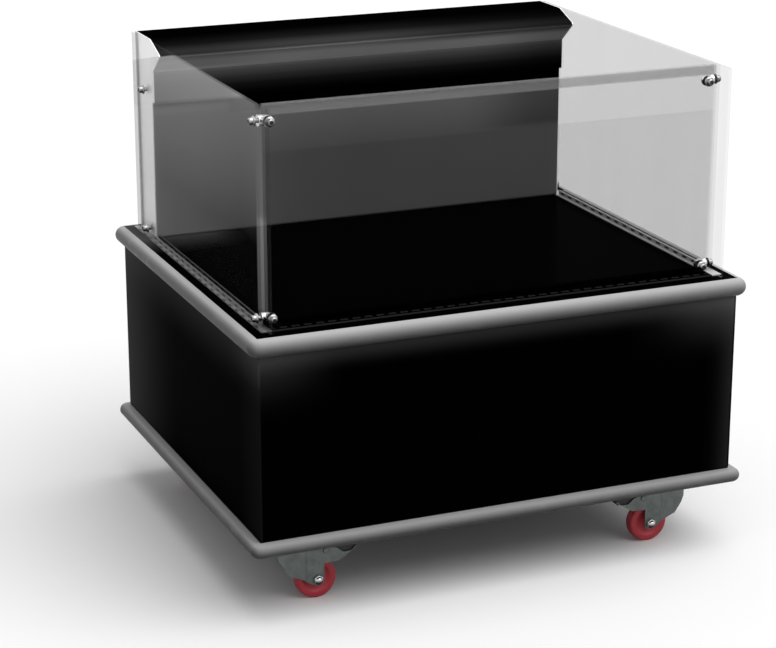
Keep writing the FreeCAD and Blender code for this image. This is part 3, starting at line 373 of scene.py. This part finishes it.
# Left pane: a painted reflection glowing above sloping lines, clearer over the end cap, with a painted
# highlight as a pale post where it stands proud
def leftZones(finish, look):
    depth, height = finish.axes("YZ")

    def above(line):
        return finish.fade(height + depth * line["lean"], line["low"], line["high"])

    proud = depth < look["proudY"]
    tail = depth > look["tailFront"]
    band, bare = above(look["band"]), above(look["bare"])
    nook = above(look["nook"]) * finish.fade(depth, *look["nookDepth"])
    rise = finish.span(height, *look["riseSpan"])
    # painted reflection: a glow rising with height, along a band and over the shaded column corner
    paintedReflection = rise * look["riseLift"] + band * look["bandLift"] + nook * look["nookLift"]
    low = finish.fade(height, look["stepHigh"], look["stepLow"])
    climb = finish.span(height, look["postLow"], look["stepLow"]) * look["postRise"]
    paintedPostHighlight = low * (climb + look["postLift"]) + (1 - low) * look["postTop"]
    paintedPostHighlight = paintedPostHighlight * (depth > look["proudFar"]) * finish.fade(height, *look["footSpan"])
    cap = (depth > look["capFront"]) * look["capThin"]
    body = look["body"] + band * look["bandBody"] * (1 - proud) - cap
    body = body * (1 - bare * look["bareThin"]) + tail * look["tailBody"]
    return body, paintedReflection * (1 - proud) * (1 - bare) * (1 - tail) + paintedPostHighlight * proud


def rightZones(finish, look):
    proud = finish.axis(finish.place(), "Y") < look["proudY"]
    return look["body"] - proud * look["proudThin"], grey(0.0)


# Front pane: a painted reflection glows along its top, stronger towards the left
def frontZones(finish, look):
    across, height = finish.axes("XZ")
    upper = finish.fade(height, *look["upperSpan"])
    line = upper * (1 - upper) * look["line"]
    lift = finish.span(height, *look["liftSpan"]) * finish.fade(across, *look["liftAcross"])
    return look["body"] - upper * look["upperThin"] + line, lift * look["lift"]


paneLook = {"shade": 0.005, "edgeColour": (0.3, 0.32, 0.31, 1), "gloss": 0.001, "ior": 1.5, "rough": 0.02,
            "faceFrom": 0.8, "hazeScale": 5.0, "hazeSpan": (0.35, 0.75)}
sidePaneLook = dict(paneLook, faceAxis="X", hazeStretch=(1, 4, 0.4), haze=0.01, body=0.2)
leftGlassLook = dict(sidePaneLook, zones=leftZones, edgeBody=0.04, crestBody=0.0,
                     proudY=-0.3205, proudFar=-0.353, riseSpan=(0.655, 0.89), riseLift=0.25,
                     band={"lean": 0.225, "low": 0.8325, "high": 0.8425}, bandBody=0.06, bandLift=0.23,
                     nook={"lean": 0.2353, "low": 0.805, "high": 0.817}, nookLift=0.13,
                     nookDepth=(-0.16, -0.254),
                     stepLow=0.7, stepHigh=0.715, footSpan=(0.536, 0.552),
                     postLow=0.53, postRise=0.16, postLift=0.26, postTop=0.21,
                     capFront=0.251, capThin=0.09, tailFront=0.349, tailBody=0.29,
                     bare={"lean": 0.2227, "low": 0.9215, "high": 0.925}, bareThin=0.9)
rightGlassLook = dict(sidePaneLook, zones=rightZones, edgeBody=0.06, crestBody=0.25,
                      proudY=-0.3325, proudThin=0.1)
frontGlassLook = dict(paneLook, zones=frontZones, faceAxis="Y", hazeStretch=(4, 1, 0.4), haze=0.006,
                      body=0.128, edgeBody=0.04, crestBody=0.0,
                      upperSpan=(0.812, 0.817), upperThin=0.048, line=0.12,
                      liftSpan=(0.81, 0.88), liftAcross=(0.3, -0.1), lift=0.2)

# Smoked capping over the front pane's top edge, with drawn streaks along it
cappingLook = {"shade": 0.42, "edgeShade": 0.52, "gloss": 0.1, "rough": 0.25,
               "body": 0.17, "bodySpread": 0.06, "edgeSpan": (0.893, 0.897), "edgeShare": 0.5,
               "streakScale": 30.0, "streakStretch": (0.2, 8, 8), "streakShare": 0.5}


def smokedPlastic(name, look):
    finish = Finish(name, Specular_IOR_Level=look["gloss"], Roughness=look["rough"])
    streak = finish.noise(look["streakScale"], stretch=look["streakStretch"])
    edge = finish.fade(finish.axis(finish.place(), "Z"), *look["edgeSpan"])
    pale = streak * look["streakShare"] + edge * look["edgeShare"]
    return finish.feed(Base_Color=finish.mix(pale, grey(look["shade"]), grey(look["edgeShade"])),
                       Alpha=look["body"] + streak * look["bodySpread"])


# Metals: drawn grain along one direction, with painted shade on faces that look down
metalGrain = {"detail": 4.0, "deep": 0.0003, "share": 0.4, "cloudShare": 0.6}


def grainedMetal(name, look):
    finish = Finish(name, Metallic=look.get("metallic", 1.0))
    grain = finish.noise(look["grainScale"], metalGrain["detail"], look["grainStretch"])
    cloud = finish.noise(look["cloudScale"])
    pale = cloud * metalGrain["cloudShare"] + grain * metalGrain["share"]
    colour = finish.mix(pale, look["dark"], look["light"])
    # painted shade: faces that look down take the darker under colour
    if "under" in look:
        lean = finish.axis(finish.normal(), "Z")
        colour = finish.mix(finish.fade(lean, *look["paintedUnderShadeSpan"]), look["under"], colour)
    # painted shade: dark dashes where slot openings would be
    if "paintedSlotShade" in look:
        colour = finish.mix(look["paintedSlotShade"](finish), colour, look["slotShadeColour"])
    return finish.feed(Base_Color=colour, Roughness=look["rough"] + grain * look["roughSpread"],
                       Normal=finish.bump(grain, look["grain"], metalGrain["deep"]))


# A row of dark dashes along the channel's wall: painted shade in place of slot openings
channelPaintedSlotShadeLook = {"low": 0.5205, "high": 0.5245, "halfPitch": 0.0165, "start": 0.008, "end": 0.0095}


def wallPaintedSlotShade(finish):
    depth, height = finish.axes("YZ")
    row = (height > channelPaintedSlotShadeLook["low"]) * (height < channelPaintedSlotShadeLook["high"])
    step = finish.repeated(depth, channelPaintedSlotShadeLook["halfPitch"])
    return row * finish.fade(step, channelPaintedSlotShadeLook["start"], channelPaintedSlotShadeLook["end"])


channelLook = {"dark": grey(0.24), "light": grey(0.44), "rough": 0.32, "roughSpread": 0.15,
               "grainScale": 60.0, "grainStretch": (12, 0.4, 12), "grain": 0.08, "cloudScale": 30.0,
               "paintedSlotShade": wallPaintedSlotShade, "slotShadeColour": grey(0.05)}
# Right channel: painted light, a paler, less metallic copy of the channel aluminium
rightChannelPaintedLitLook = dict(channelLook, dark=grey(0.6), light=grey(0.85), metallic=0.15,
                        slotShadeColour=grey(0.004))
capLook = {"dark": grey(0.75), "light": grey(0.95), "rough": 0.42, "roughSpread": 0.2,
           "grainScale": 40.0, "grainStretch": (8, 8, 0.25), "grain": 0.06, "cloudScale": 6.0}
zincLook = {"dark": (0.045, 0.052, 0.05, 1), "light": (0.19, 0.21, 0.205, 1),
            "rough": 0.42, "roughSpread": 0.2,
            "grainScale": 180.0, "grainStretch": (1, 1, 1), "grain": 0.12, "cloudScale": 70.0}
# painted shade: the chrome looks' under colours darken faces that look down
chromeLook = {"dark": grey(0.5), "light": grey(0.8), "rough": 0.1, "roughSpread": 0.08,
              "under": grey(0.04), "paintedUnderShadeSpan": (-0.4, 0.6),
              "grainScale": 220.0, "grainStretch": (1, 1, 1), "grain": 0.02, "cloudScale": 60.0}
boltChromeLook = dict(chromeLook, rough=0.16)
# Painted light: the corner elbows are a lit, brighter copy of the chrome and the discs a shaded, darker one
elbowPaintedLitChromeLook = dict(chromeLook, dark=grey(0.75), light=grey(0.98), under=grey(0.2), paintedUnderShadeSpan=(-0.6, 0.3))
discPaintedShadeChromeLook = dict(chromeLook, dark=grey(0.3), light=grey(0.6), under=grey(0.05), rough=0.2)
galvanisedLook = {"dark": grey(0.36), "light": grey(0.6), "rough": 0.36, "roughSpread": 0.2,
                  "grainScale": 35.0, "grainStretch": (1, 1, 1), "grain": 0.05, "cloudScale": 22.0}
finLook = {"dark": grey(0.4), "light": grey(0.7), "rough": 0.35, "roughSpread": 0.2,
           "grainScale": 120.0, "grainStretch": (4, 4, 0.3), "grain": 0.1, "cloudScale": 14.0}

# Moulded plastic and rubber with a fine spark-eroded texture
mouldTexture = {"wearDetail": 4.0, "wearSpan": (0.5, 0.8), "grainRough": 0.15, "deep": 0.0004}


def moulding(name, look):
    finish = Finish(name, Specular_IOR_Level=look["gloss"])
    grain = finish.noise(look["grainScale"])
    worn = finish.noise(look["cloudScale"], mouldTexture["wearDetail"])
    worn = finish.fade(worn, *mouldTexture["wearSpan"]) * look["wear"]
    return finish.feed(Base_Color=finish.mix(worn, look["colour"], look["wornColour"]),
                       Roughness=look["rough"] + grain * mouldTexture["grainRough"],
                       Normal=finish.bump(grain, look["grain"], mouldTexture["deep"]))


treadLook = {"colour": (0.55, 0.05, 0.07, 1), "wornColour": (0.42, 0.045, 0.06, 1),
             "gloss": 0.4, "rough": 0.38,
             "grainScale": 500.0, "grain": 0.1, "cloudScale": 45.0, "wear": 0.6}
blackPlasticLook = {"colour": grey(0.012), "wornColour": grey(0.04), "gloss": 0.4, "rough": 0.42,
                    "grainScale": 700.0, "grain": 0.15, "cloudScale": 50.0, "wear": 0.3}
controlLook = dict(blackPlasticLook, grainScale=900.0)
rockerLook = dict(blackPlasticLook, colour=(0.4, 0.012, 0.012, 1), wornColour=(0.3, 0.03, 0.03, 1),
                  rough=0.25)
pointerLook = dict(blackPlasticLook, colour=grey(0.75), wornColour=grey(0.6), rough=0.35)
linerLook = {"colour": (0.72, 0.72, 0.7, 1), "wornColour": (0.6, 0.6, 0.57, 1),
             "gloss": 0.4, "rough": 0.4, "grainScale": 260.0, "grain": 0.08, "cloudScale": 9.0, "wear": 0.3}

slotFinish = {
    "black_enamel": enamel("panelEnamel", panelLook),
    "deck_black": enamel("deckEnamel", deckLook),
    "strip_black": enamel("stripEnamel", stripLook),
    "column_black": enamel("columnEnamel", columnLook),
    "chassis_steel": enamel("chassisPaint", chassisLook),
    "compressor_black": enamel("compressorPaint", compressorLook),
    "motor_grey": enamel("motorPaint", motorLook),
    "glass_trim": smokedPlastic("smokedCapping", cappingLook),
    "bumper_rubber": bumperVinyl("bumperVinyl", vinylLook),
    "clear_glass": paneGlass("rightGlass", rightGlassLook),
    "channel_aluminium": grainedMetal("channelAluminium", channelLook),
    "end_cap_metal": grainedMetal("capBrushed", capLook),
    "zinc_plate": grainedMetal("castorZinc", zincLook),
    "clamp_chrome": grainedMetal("clampChrome", chromeLook),
    "bright_bolt": grainedMetal("boltBright", boltChromeLook),
    "galvanised_sheet": grainedMetal("galvanisedSheet", galvanisedLook),
    "coil_fins": grainedMetal("coilFins", finLook),
    "wheel_red": moulding("wheelTread", treadLook),
    "pedal_black": moulding("pedalPlastic", blackPlasticLook),
    "fan_black": moulding("fanPlastic", blackPlasticLook),
    "control_black": moulding("controlPlastic", controlLook),
    "rocker_red": moulding("rockerPlastic", rockerLook),
    "tank_liner": moulding("tankLiner", linerLook),
}
nodeFinish = {
    "front_glass": paneGlass("frontGlass", frontGlassLook),
    "left_glass": paneGlass("leftGlass", leftGlassLook),
    "right_glass_channel": grainedMetal("channelPaintedLit", rightChannelPaintedLitLook),
    "column_front_panel": enamel("columnFace", columnFaceLook),
    "hood_cover": enamel("hoodEnamel", hoodLook),
    "rear_service_panel": enamel("rearEnamel", backLook),
}
for name, piece in nodes.items():
    piece.data.materials.clear()
    piece.data.materials.append(nodeFinish.get(name) or slotFinish[slotOf[name]])
print("finishes on", len(nodes), "nodes")

# Folded and pressed edges catch a thin line of light
edgeLook = {"segments": 2, "angle": 35, "fork": 0.7, "plate": 0.8}
edgeWidth = {"base_frame": 0.6, "base_pan": 0.6, "top_rim": 0.6, "product_deck": 0.6,
             "left_end_cap": 0.4, "right_end_cap": 0.4, "front_glass_trim": 0.5, "front_glass_strip": 0.4,
             "left_glass_channel": 0.4, "right_glass_channel": 0.4,
             "control_box": 0.8, "rocker_switch": 0.6, "rear_service_panel": 0.4}
for name in nodes:
    if name.endswith("castor_fork"):
        edgeWidth[name] = edgeLook["fork"]
    if name.endswith(("castor_plate", "brake_pedal")):
        edgeWidth[name] = edgeLook["plate"]
for name, width in edgeWidth.items():
    edge = nodes[name].modifiers.new("edge", "BEVEL")
    edge.width = width * mm
    edge.segments = edgeLook["segments"]
    edge.limit_method = "ANGLE"
    edge.angle_limit = math.radians(edgeLook["angle"])
    edge.harden_normals = True
print("edges on", len(edgeWidth), "nodes")

pieceLook = {"sharp": 34}  # turns past this many degrees stay crisp


def newObject(name, data):
    made = bpy.data.objects.new(name, data)
    bpy.context.scene.collection.objects.link(made)
    return made


# A finished piece: closed faces, smooth but for its sharp turns
def newPiece(name, form, body, slot, stands=(), finish=None):
    bmesh.ops.recalc_face_normals(form, faces=form.faces)
    mesh = bpy.data.meshes.new(name)
    form.to_mesh(mesh)
    form.free()
    mesh.shade_smooth()
    mesh.set_sharp_from_angle(angle=math.radians(pieceLook["sharp"]))
    mesh.materials.append(finish or slotFinish[slot])
    piece = newObject(name, mesh)
    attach(piece, body)
    if stands:
        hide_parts(*stands)


# Where a form stands: its own Z looks outward from the point
def seated(point, outward):
    turn = Vector(outward).to_track_quat("Z", "Y").to_matrix().to_4x4()
    return Matrix.Translation(Vector(point) * mm) @ turn @ Matrix.Scale(mm, 4)


# Faces between two rings of points, either of which may be one point
def bridge(form, first, second):
    count = max(len(first), len(second))
    for k in range(count):
        n = (k + 1) % count
        corners = [first[k % len(first)], first[n % len(first)]]
        corners += [second[n % len(second)], second[k % len(second)]]
        form.faces.new(list(dict.fromkeys(corners)))  # a lone point counts once


# Skin over a row of rings: its ends are points, joined in a loop, or capped
def skin(form, rings, ends="points"):
    following = rings[1:] + rings[:1] if ends == "loop" else rings[1:]
    for first, second in zip(rings, following):
        bridge(form, first, second)
    if ends == "caps":
        form.faces.new(rings[0])
        form.faces.new(rings[-1])


# Turned form about its own Z: rows of radius and height, some cut to six flats ("hex") or fluted
def turned(form, look, place, ends):
    sides = look["sides"]
    rings = []
    for radius, height, *cut in look["rows"]:
        ring = []
        for k in range(sides if radius > 0 else 1):
            angle = 2 * math.pi * k / sides
            reach = radius
            if "hex" in cut:
                reach = radius / math.cos((angle + math.pi / 6) % (math.pi / 3) - math.pi / 6)
            if "flute" in cut:
                reach = radius - look["fluteDeep"] * math.sin(look["flutes"] * angle / 2) ** 4
            at = Vector((reach * math.cos(angle), reach * math.sin(angle), height))
            ring.append(form.verts.new(place @ at))
        rings.append(ring)
    skin(form, rings, ends)


# One piece of equal turned forms, one on each seat
def turnedPiece(name, look, seats, body, slot, stands=(), finish=None, ends="points"):
    form = bmesh.new()
    for seat in seats:
        turned(form, look, seat, ends)
    newPiece(name, form, body, slot, stands, finish)


# Bumpers: half-round vinyl rings with a flat back on the cabinet
bumperLook = {"lower_bumper": {"z": 126.0, "height": 24.0, "out": 19.99},
              "upper_bumper": {"z": case["top"], "height": 32.0, "out": 18.0}}
vinylSteps = {"round": 18, "corner": 10, "weld": 1e-6}


# A ring of points round the cabinet, with corners of that reach about the four middles
def aroundCase(form, reach, height, middleX, middleY):
    ring = []
    for quarter, (sx, sy) in enumerate(((1, 1), (-1, 1), (-1, -1), (1, -1))):
        for k in range(vinylSteps["corner"] + 1):
            angle = math.pi / 2 * (quarter + k / vinylSteps["corner"])
            x = sx * middleX + reach * math.cos(angle)
            y = sy * middleY + reach * math.sin(angle)
            ring.append(form.verts.new(Vector((x, y, height)) * mm))
    return ring


def vinylRing(name, look):
    form = bmesh.new()
    radius = look["height"] / 2
    shift = look["out"] - radius - case["corner"]  # of the round's middle, out from the panels
    rings = [aroundCase(form, 0.0, look["z"], case["halfW"], case["halfD"])]
    for step in range(vinylSteps["round"] + 1):
        lean = math.pi * step / vinylSteps["round"]
        reach = case["corner"] + radius * math.sin(lean)
        height = look["z"] + radius * (1 - math.cos(lean))
        rings.append(aroundCase(form, reach, height, case["halfW"] + shift, case["halfD"] + shift))
    rings.append(aroundCase(form, 0.0, look["z"] + look["height"], case["halfW"], case["halfD"]))
    skin(form, rings, "loop")
    bmesh.ops.remove_doubles(form, verts=form.verts, dist=vinylSteps["weld"])
    newPiece(name + "Vinyl", form, "cabinet", "bumper_rubber", [name])


for name, look in bumperLook.items():
    vinylRing(name, look)
print("bumpers made")

# Glass clamps: dished discs with socket screws outside, round elbows inside the corners
clampPlace = {"frontX": 411.0, "frontY": -331.5, "sideX": 432.5, "sideY": -315.5, "rearY": 302.5,
              "lowZ": 529.0, "highZ": 867.0, "rearZ": 798.0, "glass": 6.0}
discLook = {"rows": [(0, -6.0), (4.0, -6.0), (4.0, 0.0), (8.2, 0.0), (8.8, 0.5), (8.8, 1.7), (8.3, 2.4),
                     (6.6, 3.2), (6.5, 3.6), (6.4, 6.4), (5.9, 8.4), (5.2, 9.5), (4.3, 9.9),
                     (3.4, 9.9, "hex"), (3.4, 6.4, "hex"), (0, 6.2)], "sides": 48}
# Socket plug: painted shade, a black plug in each disc screw's socket
socketShadePlugLook = {"rows": [(0, 6.6), (3.1, 6.6, "hex"), (3.1, 8.6, "hex"), (2.5, 8.9), (0, 8.9)], "sides": 48}
elbowLook = {"tube": 9.5, "collar": 9.9, "collarLong": 2.0, "collarFall": 0.6, "bend": 9.9, "bendSteps": 8,
             "sides": 32}


def discSeats(place):
    seats = []
    for sign in (-1, 1):
        for z in (place["lowZ"], place["highZ"]):
            seats.append(seated((sign * place["frontX"], place["frontY"], z), (0, -1, 0)))
            seats.append(seated((sign * place["sideX"], place["sideY"], z), (sign, 0, 0)))
        for z in (place["lowZ"], place["rearZ"]):
            seats.append(seated((sign * place["sideX"], place["rearY"], z), (sign, 0, 0)))
    return seats


# From the side pane round to the front pane: centre, outward direction across the bend, radius
def elbowStations(look, place, z):
    collarEnd = place["sideX"] - place["glass"]
    stations = []
    for along, radius in ((0.0, look["collar"]), (look["collarLong"], look["collar"]),
                          (look["collarLong"] + look["collarFall"], look["tube"])):
        stations.append((Vector((collarEnd - along, place["sideY"], z)), Vector((0, 1, 0)), radius))
    pivot = Vector((place["frontX"] + look["bend"], place["sideY"] - look["bend"], z))
    for step in range(look["bendSteps"] + 1):
        turn = math.pi / 2 * step / look["bendSteps"]
        out = Vector((-math.sin(turn), math.cos(turn), 0))
        stations.append((pivot + out * look["bend"], out, look["tube"]))
    tubeEnd = Vector((place["frontX"], place["frontY"] + place["glass"], z))
    stations.append((tubeEnd, Vector((-1, 0, 0)), look["tube"]))
    return stations


def cornerElbows(look, place):
    form = bmesh.new()
    for sign in (-1, 1):
        for z in (place["lowZ"], place["highZ"]):
            rings = []
            for centre, out, radius in elbowStations(look, place, z):
                ring = []
                for k in range(look["sides"]):
                    angle = 2 * math.pi * k / look["sides"]
                    up = Vector((0, 0, radius * math.sin(angle)))
                    at = centre + out * (radius * math.cos(angle)) + up
                    at.x *= sign
                    ring.append(form.verts.new(at * mm))
                rings.append(ring)
            skin(form, rings, "caps")
    newPiece("cornerElbows", form, "cabinet", "clamp_chrome", ["corner_clamps"],
             grainedMetal("elbowPaintedLitChrome", elbowPaintedLitChromeLook))


clampSeats = discSeats(clampPlace)
turnedPiece("glassDiscs", discLook, clampSeats, "cabinet", "clamp_chrome", ["glass_screws"],
            grainedMetal("discPaintedShadeChrome", discPaintedShadeChromeLook))
# painted shade: a black plug fills each disc screw's socket
turnedPiece("socketShadePlugs", socketShadePlugLook, clampSeats, "cabinet", "control_black")
cornerElbows(elbowLook, clampPlace)
print("glass clamps made")

# Castors: wheels, cap-nut bolts, pedal pins in front, plate bolts
castorPlace = {"x": 363.0, "y": 305.0, "trail": 32.0, "axle": 37.5}
wheelHalf = [(4.1, 15.2), (8.4, 15.2), (9.4, 14.7), (9.9, 13.6), (10.3, 8.6), (11.2, 7.0), (13.0, 6.3),
             (21.5, 8.0), (23.8, 9.2), (25.2, 10.4), (26.6, 10.9), (28.0, 11.0), (33.2, 11.0), (35.2, 10.5),
             (36.6, 9.4), (37.3, 7.8), (37.5, 5.8), (37.5, 0.5), (37.2, 0.0)]
wheelMirror = [(radius, -height) for radius, height in reversed(wheelHalf[:-1])]
wheelLook = {"rows": wheelHalf + wheelMirror, "sides": 72}
boltLook = {"rows": [(0, -27.5), (2.6, -27.2), (5.0, -26.0), (6.5, -24.3), (7.1, -23.0), (7.5, -22.9),
                     (8.0, -22.4, "hex"), (8.0, -18.6, "hex"), (7.6, -18.0), (4.0, -18.0), (4.0, 18.0),
                     (7.6, 18.0), (8.0, 18.5, "hex"), (8.0, 22.2, "hex"), (7.3, 23.0), (0, 23.0)],
            "sides": 48}
pinLook = {"rows": [(0, -1.0), (6.2, -1.0), (6.2, 0.8), (5.6, 1.8), (4.0, 2.5), (1.6, 2.8), (0, 2.8)],
           "sides": 32, "ahead": 48.0, "z": 90.0, "cheek": 18.0}
plateBoltLook = {"rows": [(0, 1.0), (3.9, 1.0), (3.9, 0.0), (7.6, 0.0), (8.0, -0.3), (8.0, -1.0),
                          (7.6, -1.3), (6.3, -1.3), (6.0, -2.6), (5.0, -3.9), (3.2, -4.6),
                          (2.3, -4.6, "hex"), (2.3, -3.0, "hex"), (0, -3.0)],
                 "sides": 36, "x": 37.5, "y": 22.5, "z": 109.0}


def castorPieces(place):
    boltSeats = []
    for side, sx in (("left", -1), ("right", 1)):
        for end, sy in (("front", -1), ("rear", 1)):
            name = end + "_" + side
            middle = Vector((sx * place["x"], sy * place["y"], 0))
            axle = seated(middle + Vector((-sx * place["trail"], 0, place["axle"])), (0, 1, 0))
            turnedPiece(name + "Wheel", wheelLook, [axle], name + "_wheel", "wheel_red", [name + "_wheel"],
                        ends="loop")
            turnedPiece(name + "AxleBolt", boltLook, [axle], name + "_swivel", "bright_bolt",
                        [name + "_axle_bolt"])
            if end == "front":
                pinSeats = []
                for dy in (-1, 1):
                    offset = Vector((-sx * pinLook["ahead"], dy * pinLook["cheek"], pinLook["z"]))
                    pinSeats.append(seated(middle + offset, (0, dy, 0)))
                turnedPiece(name + "PedalPin", pinLook, pinSeats, name + "_swivel", "zinc_plate")
            for dx in (-1, 1):
                for dy in (-1, 1):
                    offset = Vector((dx * plateBoltLook["x"], dy * plateBoltLook["y"], plateBoltLook["z"]))
                    boltSeats.append(seated(middle + offset, (0, 0, 1)))
    turnedPiece("castorPlateBolts", plateBoltLook, boltSeats, "cabinet", "bright_bolt")


castorPieces(castorPlace)
print("castor pieces made")

# Rear fittings: panel screws, thermostat knob with its pointer, cable gland
screwLook = {"rows": [(0, 0.0), (4.6, 0.0), (4.6, 0.8), (4.2, 1.7), (3.2, 2.3), (1.9, 2.5),
                      (1.5, 2.5, "hex"), (1.5, 1.3, "hex"), (0, 1.2)], "sides": 24}
screwRows = {"panel": {"y": case["halfD"], "x": [-440.0, -220.0, 0.0, 220.0, 440.0], "z": [161.0, 472.0]},
             "cover": {"y": 369.5, "x": [-408.0, -136.0, 136.0, 408.0], "z": [529.0, 860.0]}}
knobLook = {"rows": [(0, -20.0), (3.0, -20.0), (3.0, 0.3), (15.4, 0.3), (16.0, 0.9), (16.0, 2.2),
                     (14.8, 3.4), (13.2, 4.0), (12.9, 4.8, "flute"), (12.4, 11.6, "flute"), (11.4, 12.9),
                     (10.2, 13.3), (0, 13.3)],
            "sides": 96, "flutes": 16, "fluteDeep": 1.1, "at": (25.0, case["halfD"], 330.0)}
pointerShape = {"wide": 1.4, "inner": 3.0, "outer": 10.0, "sunk": 0.6, "deep": 0.25, "taper": 0.7}
glandLook = {"rows": [(5.0, -10.0), (9.0, -10.0), (9.0, -8.2), (10.6, -8.0), (11.0, -7.6, "hex"),
                      (11.0, -2.4, "hex"), (10.6, -2.0), (9.0, -2.0), (9.0, 0.0), (10.6, 0.0),
                      (11.0, 0.4, "hex"), (11.0, 5.6, "hex"), (10.4, 6.0), (9.0, 6.2), (8.9, 7.8),
                      (8.2, 9.2), (7.0, 9.9), (5.6, 10.0), (5.0, 9.4)],
             "sides": 48, "at": (0.0, case["halfD"], 200.0)}


def facingRear(point):
    return seated(point, (0, 1, 0))


def rearScrews(rows):
    seats = [facingRear((x, row["y"], z)) for row in rows.values() for x in row["x"] for z in row["z"]]
    turnedPiece("rearScrews", screwLook, seats, "cabinet", "bright_bolt")


# A pale inlay, pointed at its outer end, sunk in the knob's face
def knobPointer(shape, knob):
    half = shape["wide"] / 2
    shoulder = shape["outer"] - half
    outline = [(-half, shape["inner"]), (half, shape["inner"]), (half, shoulder), (0, shape["outer"]),
               (-half, shoulder)]
    x, y, z = knob["at"]
    face = y + knob["rows"][-1][1]
    form = bmesh.new()
    rings = []
    for share, rise in ((1.0, -shape["sunk"]), (1.0, 0.0), (shape["taper"], shape["deep"])):
        rings.append([form.verts.new(Vector((x + a * share, face + rise, z + b)) * mm) for a, b in outline])
    skin(form, rings, "caps")
    newPiece("knobPointer", form, "thermostat", "tank_liner", finish=moulding("pointerWhite", pointerLook))


rearScrews(screwRows)
turnedPiece("thermostatKnob", knobLook, [facingRear(knobLook["at"])], "thermostat", "control_black",
            ["thermostat_knob"])
knobPointer(pointerShape, knobLook)
turnedPiece("cableGland", glandLook, [facingRear(glandLook["at"])], "cabinet", "control_black",
            ["cable_gland"], ends="loop")
print("rear fittings made")

# Floor, light and camera
floorLook = {"size": 30.0, "seen": 0.97, "bounce": 0.2}
worldLook = {"seen": 1.0, "bounce": 0.43}
lampLook = {"from": (0.9, -0.84, 2.6), "strength": 2.3, "angle": 70}
cameraLook = {"at": (-1.676, -3.845, 1.7162), "yaw": -22.765, "pitch": 17.771,
              "pixels": 2337.2, "width": 776.0, "sensor": 36.0, "farthest": 100.0}


# One shader for what is seen straight, mirrored or through glass, one for the light that is thrown on
def splitRays(graph, output, bounce, seen):
    kinds = ("Is Camera Ray", "Is Glossy Ray", "Is Transmission Ray")
    camera, glossy, through = (graph.node("ShaderNodeLightPath", {}, {}, kind) for kind in kinds)
    both = graph.node("ShaderNodeMixShader", {}, {0: camera + glossy + through > 0.0, 1: bounce, 2: seen})
    graph.put(graph.tree.nodes[output], "Surface", both)


def layFloor(look):
    mesh = bpy.data.meshes.new("floor")
    form = bmesh.new()
    bmesh.ops.create_grid(form, x_segments=1, y_segments=1, size=look["size"] / 2)
    form.to_mesh(mesh)
    form.free()
    floor = newObject("floor", mesh)
    finish = Finish("floorPaper")
    bounce, seen = (finish.node("ShaderNodeBsdfDiffuse", {}, {"Color": grey(look[key])})
                    for key in ("bounce", "seen"))
    splitRays(finish, "Material Output", bounce, seen)
    mesh.materials.append(finish.material)


def lightWorld(look):
    world = bpy.data.worlds.new("studio")
    world.use_nodes = True
    graph = Graph(world.node_tree)
    bounce, seen = (graph.node("ShaderNodeBackground", {}, {"Color": grey(1.0), "Strength": look[key]})
                    for key in ("bounce", "seen"))
    splitRays(graph, "World Output", bounce, seen)
    bpy.context.scene.world = world


def hangLamp(look):
    data = bpy.data.lights.new("softSun", "SUN")
    data.energy = look["strength"]
    data.angle = math.radians(look["angle"])
    lamp = newObject("softSun", data)
    lamp.rotation_euler = Vector(look["from"]).to_track_quat("Z", "Y").to_euler()


def setCamera(look):
    data = bpy.data.cameras.new("photoCamera")
    data.sensor_fit = "HORIZONTAL"
    data.sensor_width = look["sensor"]
    data.lens = look["pixels"] / look["width"] * look["sensor"]
    data.clip_end = look["farthest"]
    camera = newObject("photoCamera", data)
    camera.location = look["at"]
    camera.rotation_euler = (math.radians(90 - look["pitch"]), 0.0, math.radians(look["yaw"]))
    bpy.context.scene.camera = camera


layFloor(floorLook)
lightWorld(worldLook)
hangLamp(lampLook)
setCamera(cameraLook)
bpy.context.scene.view_settings.view_transform = "Standard"
print("stage, light and camera set")
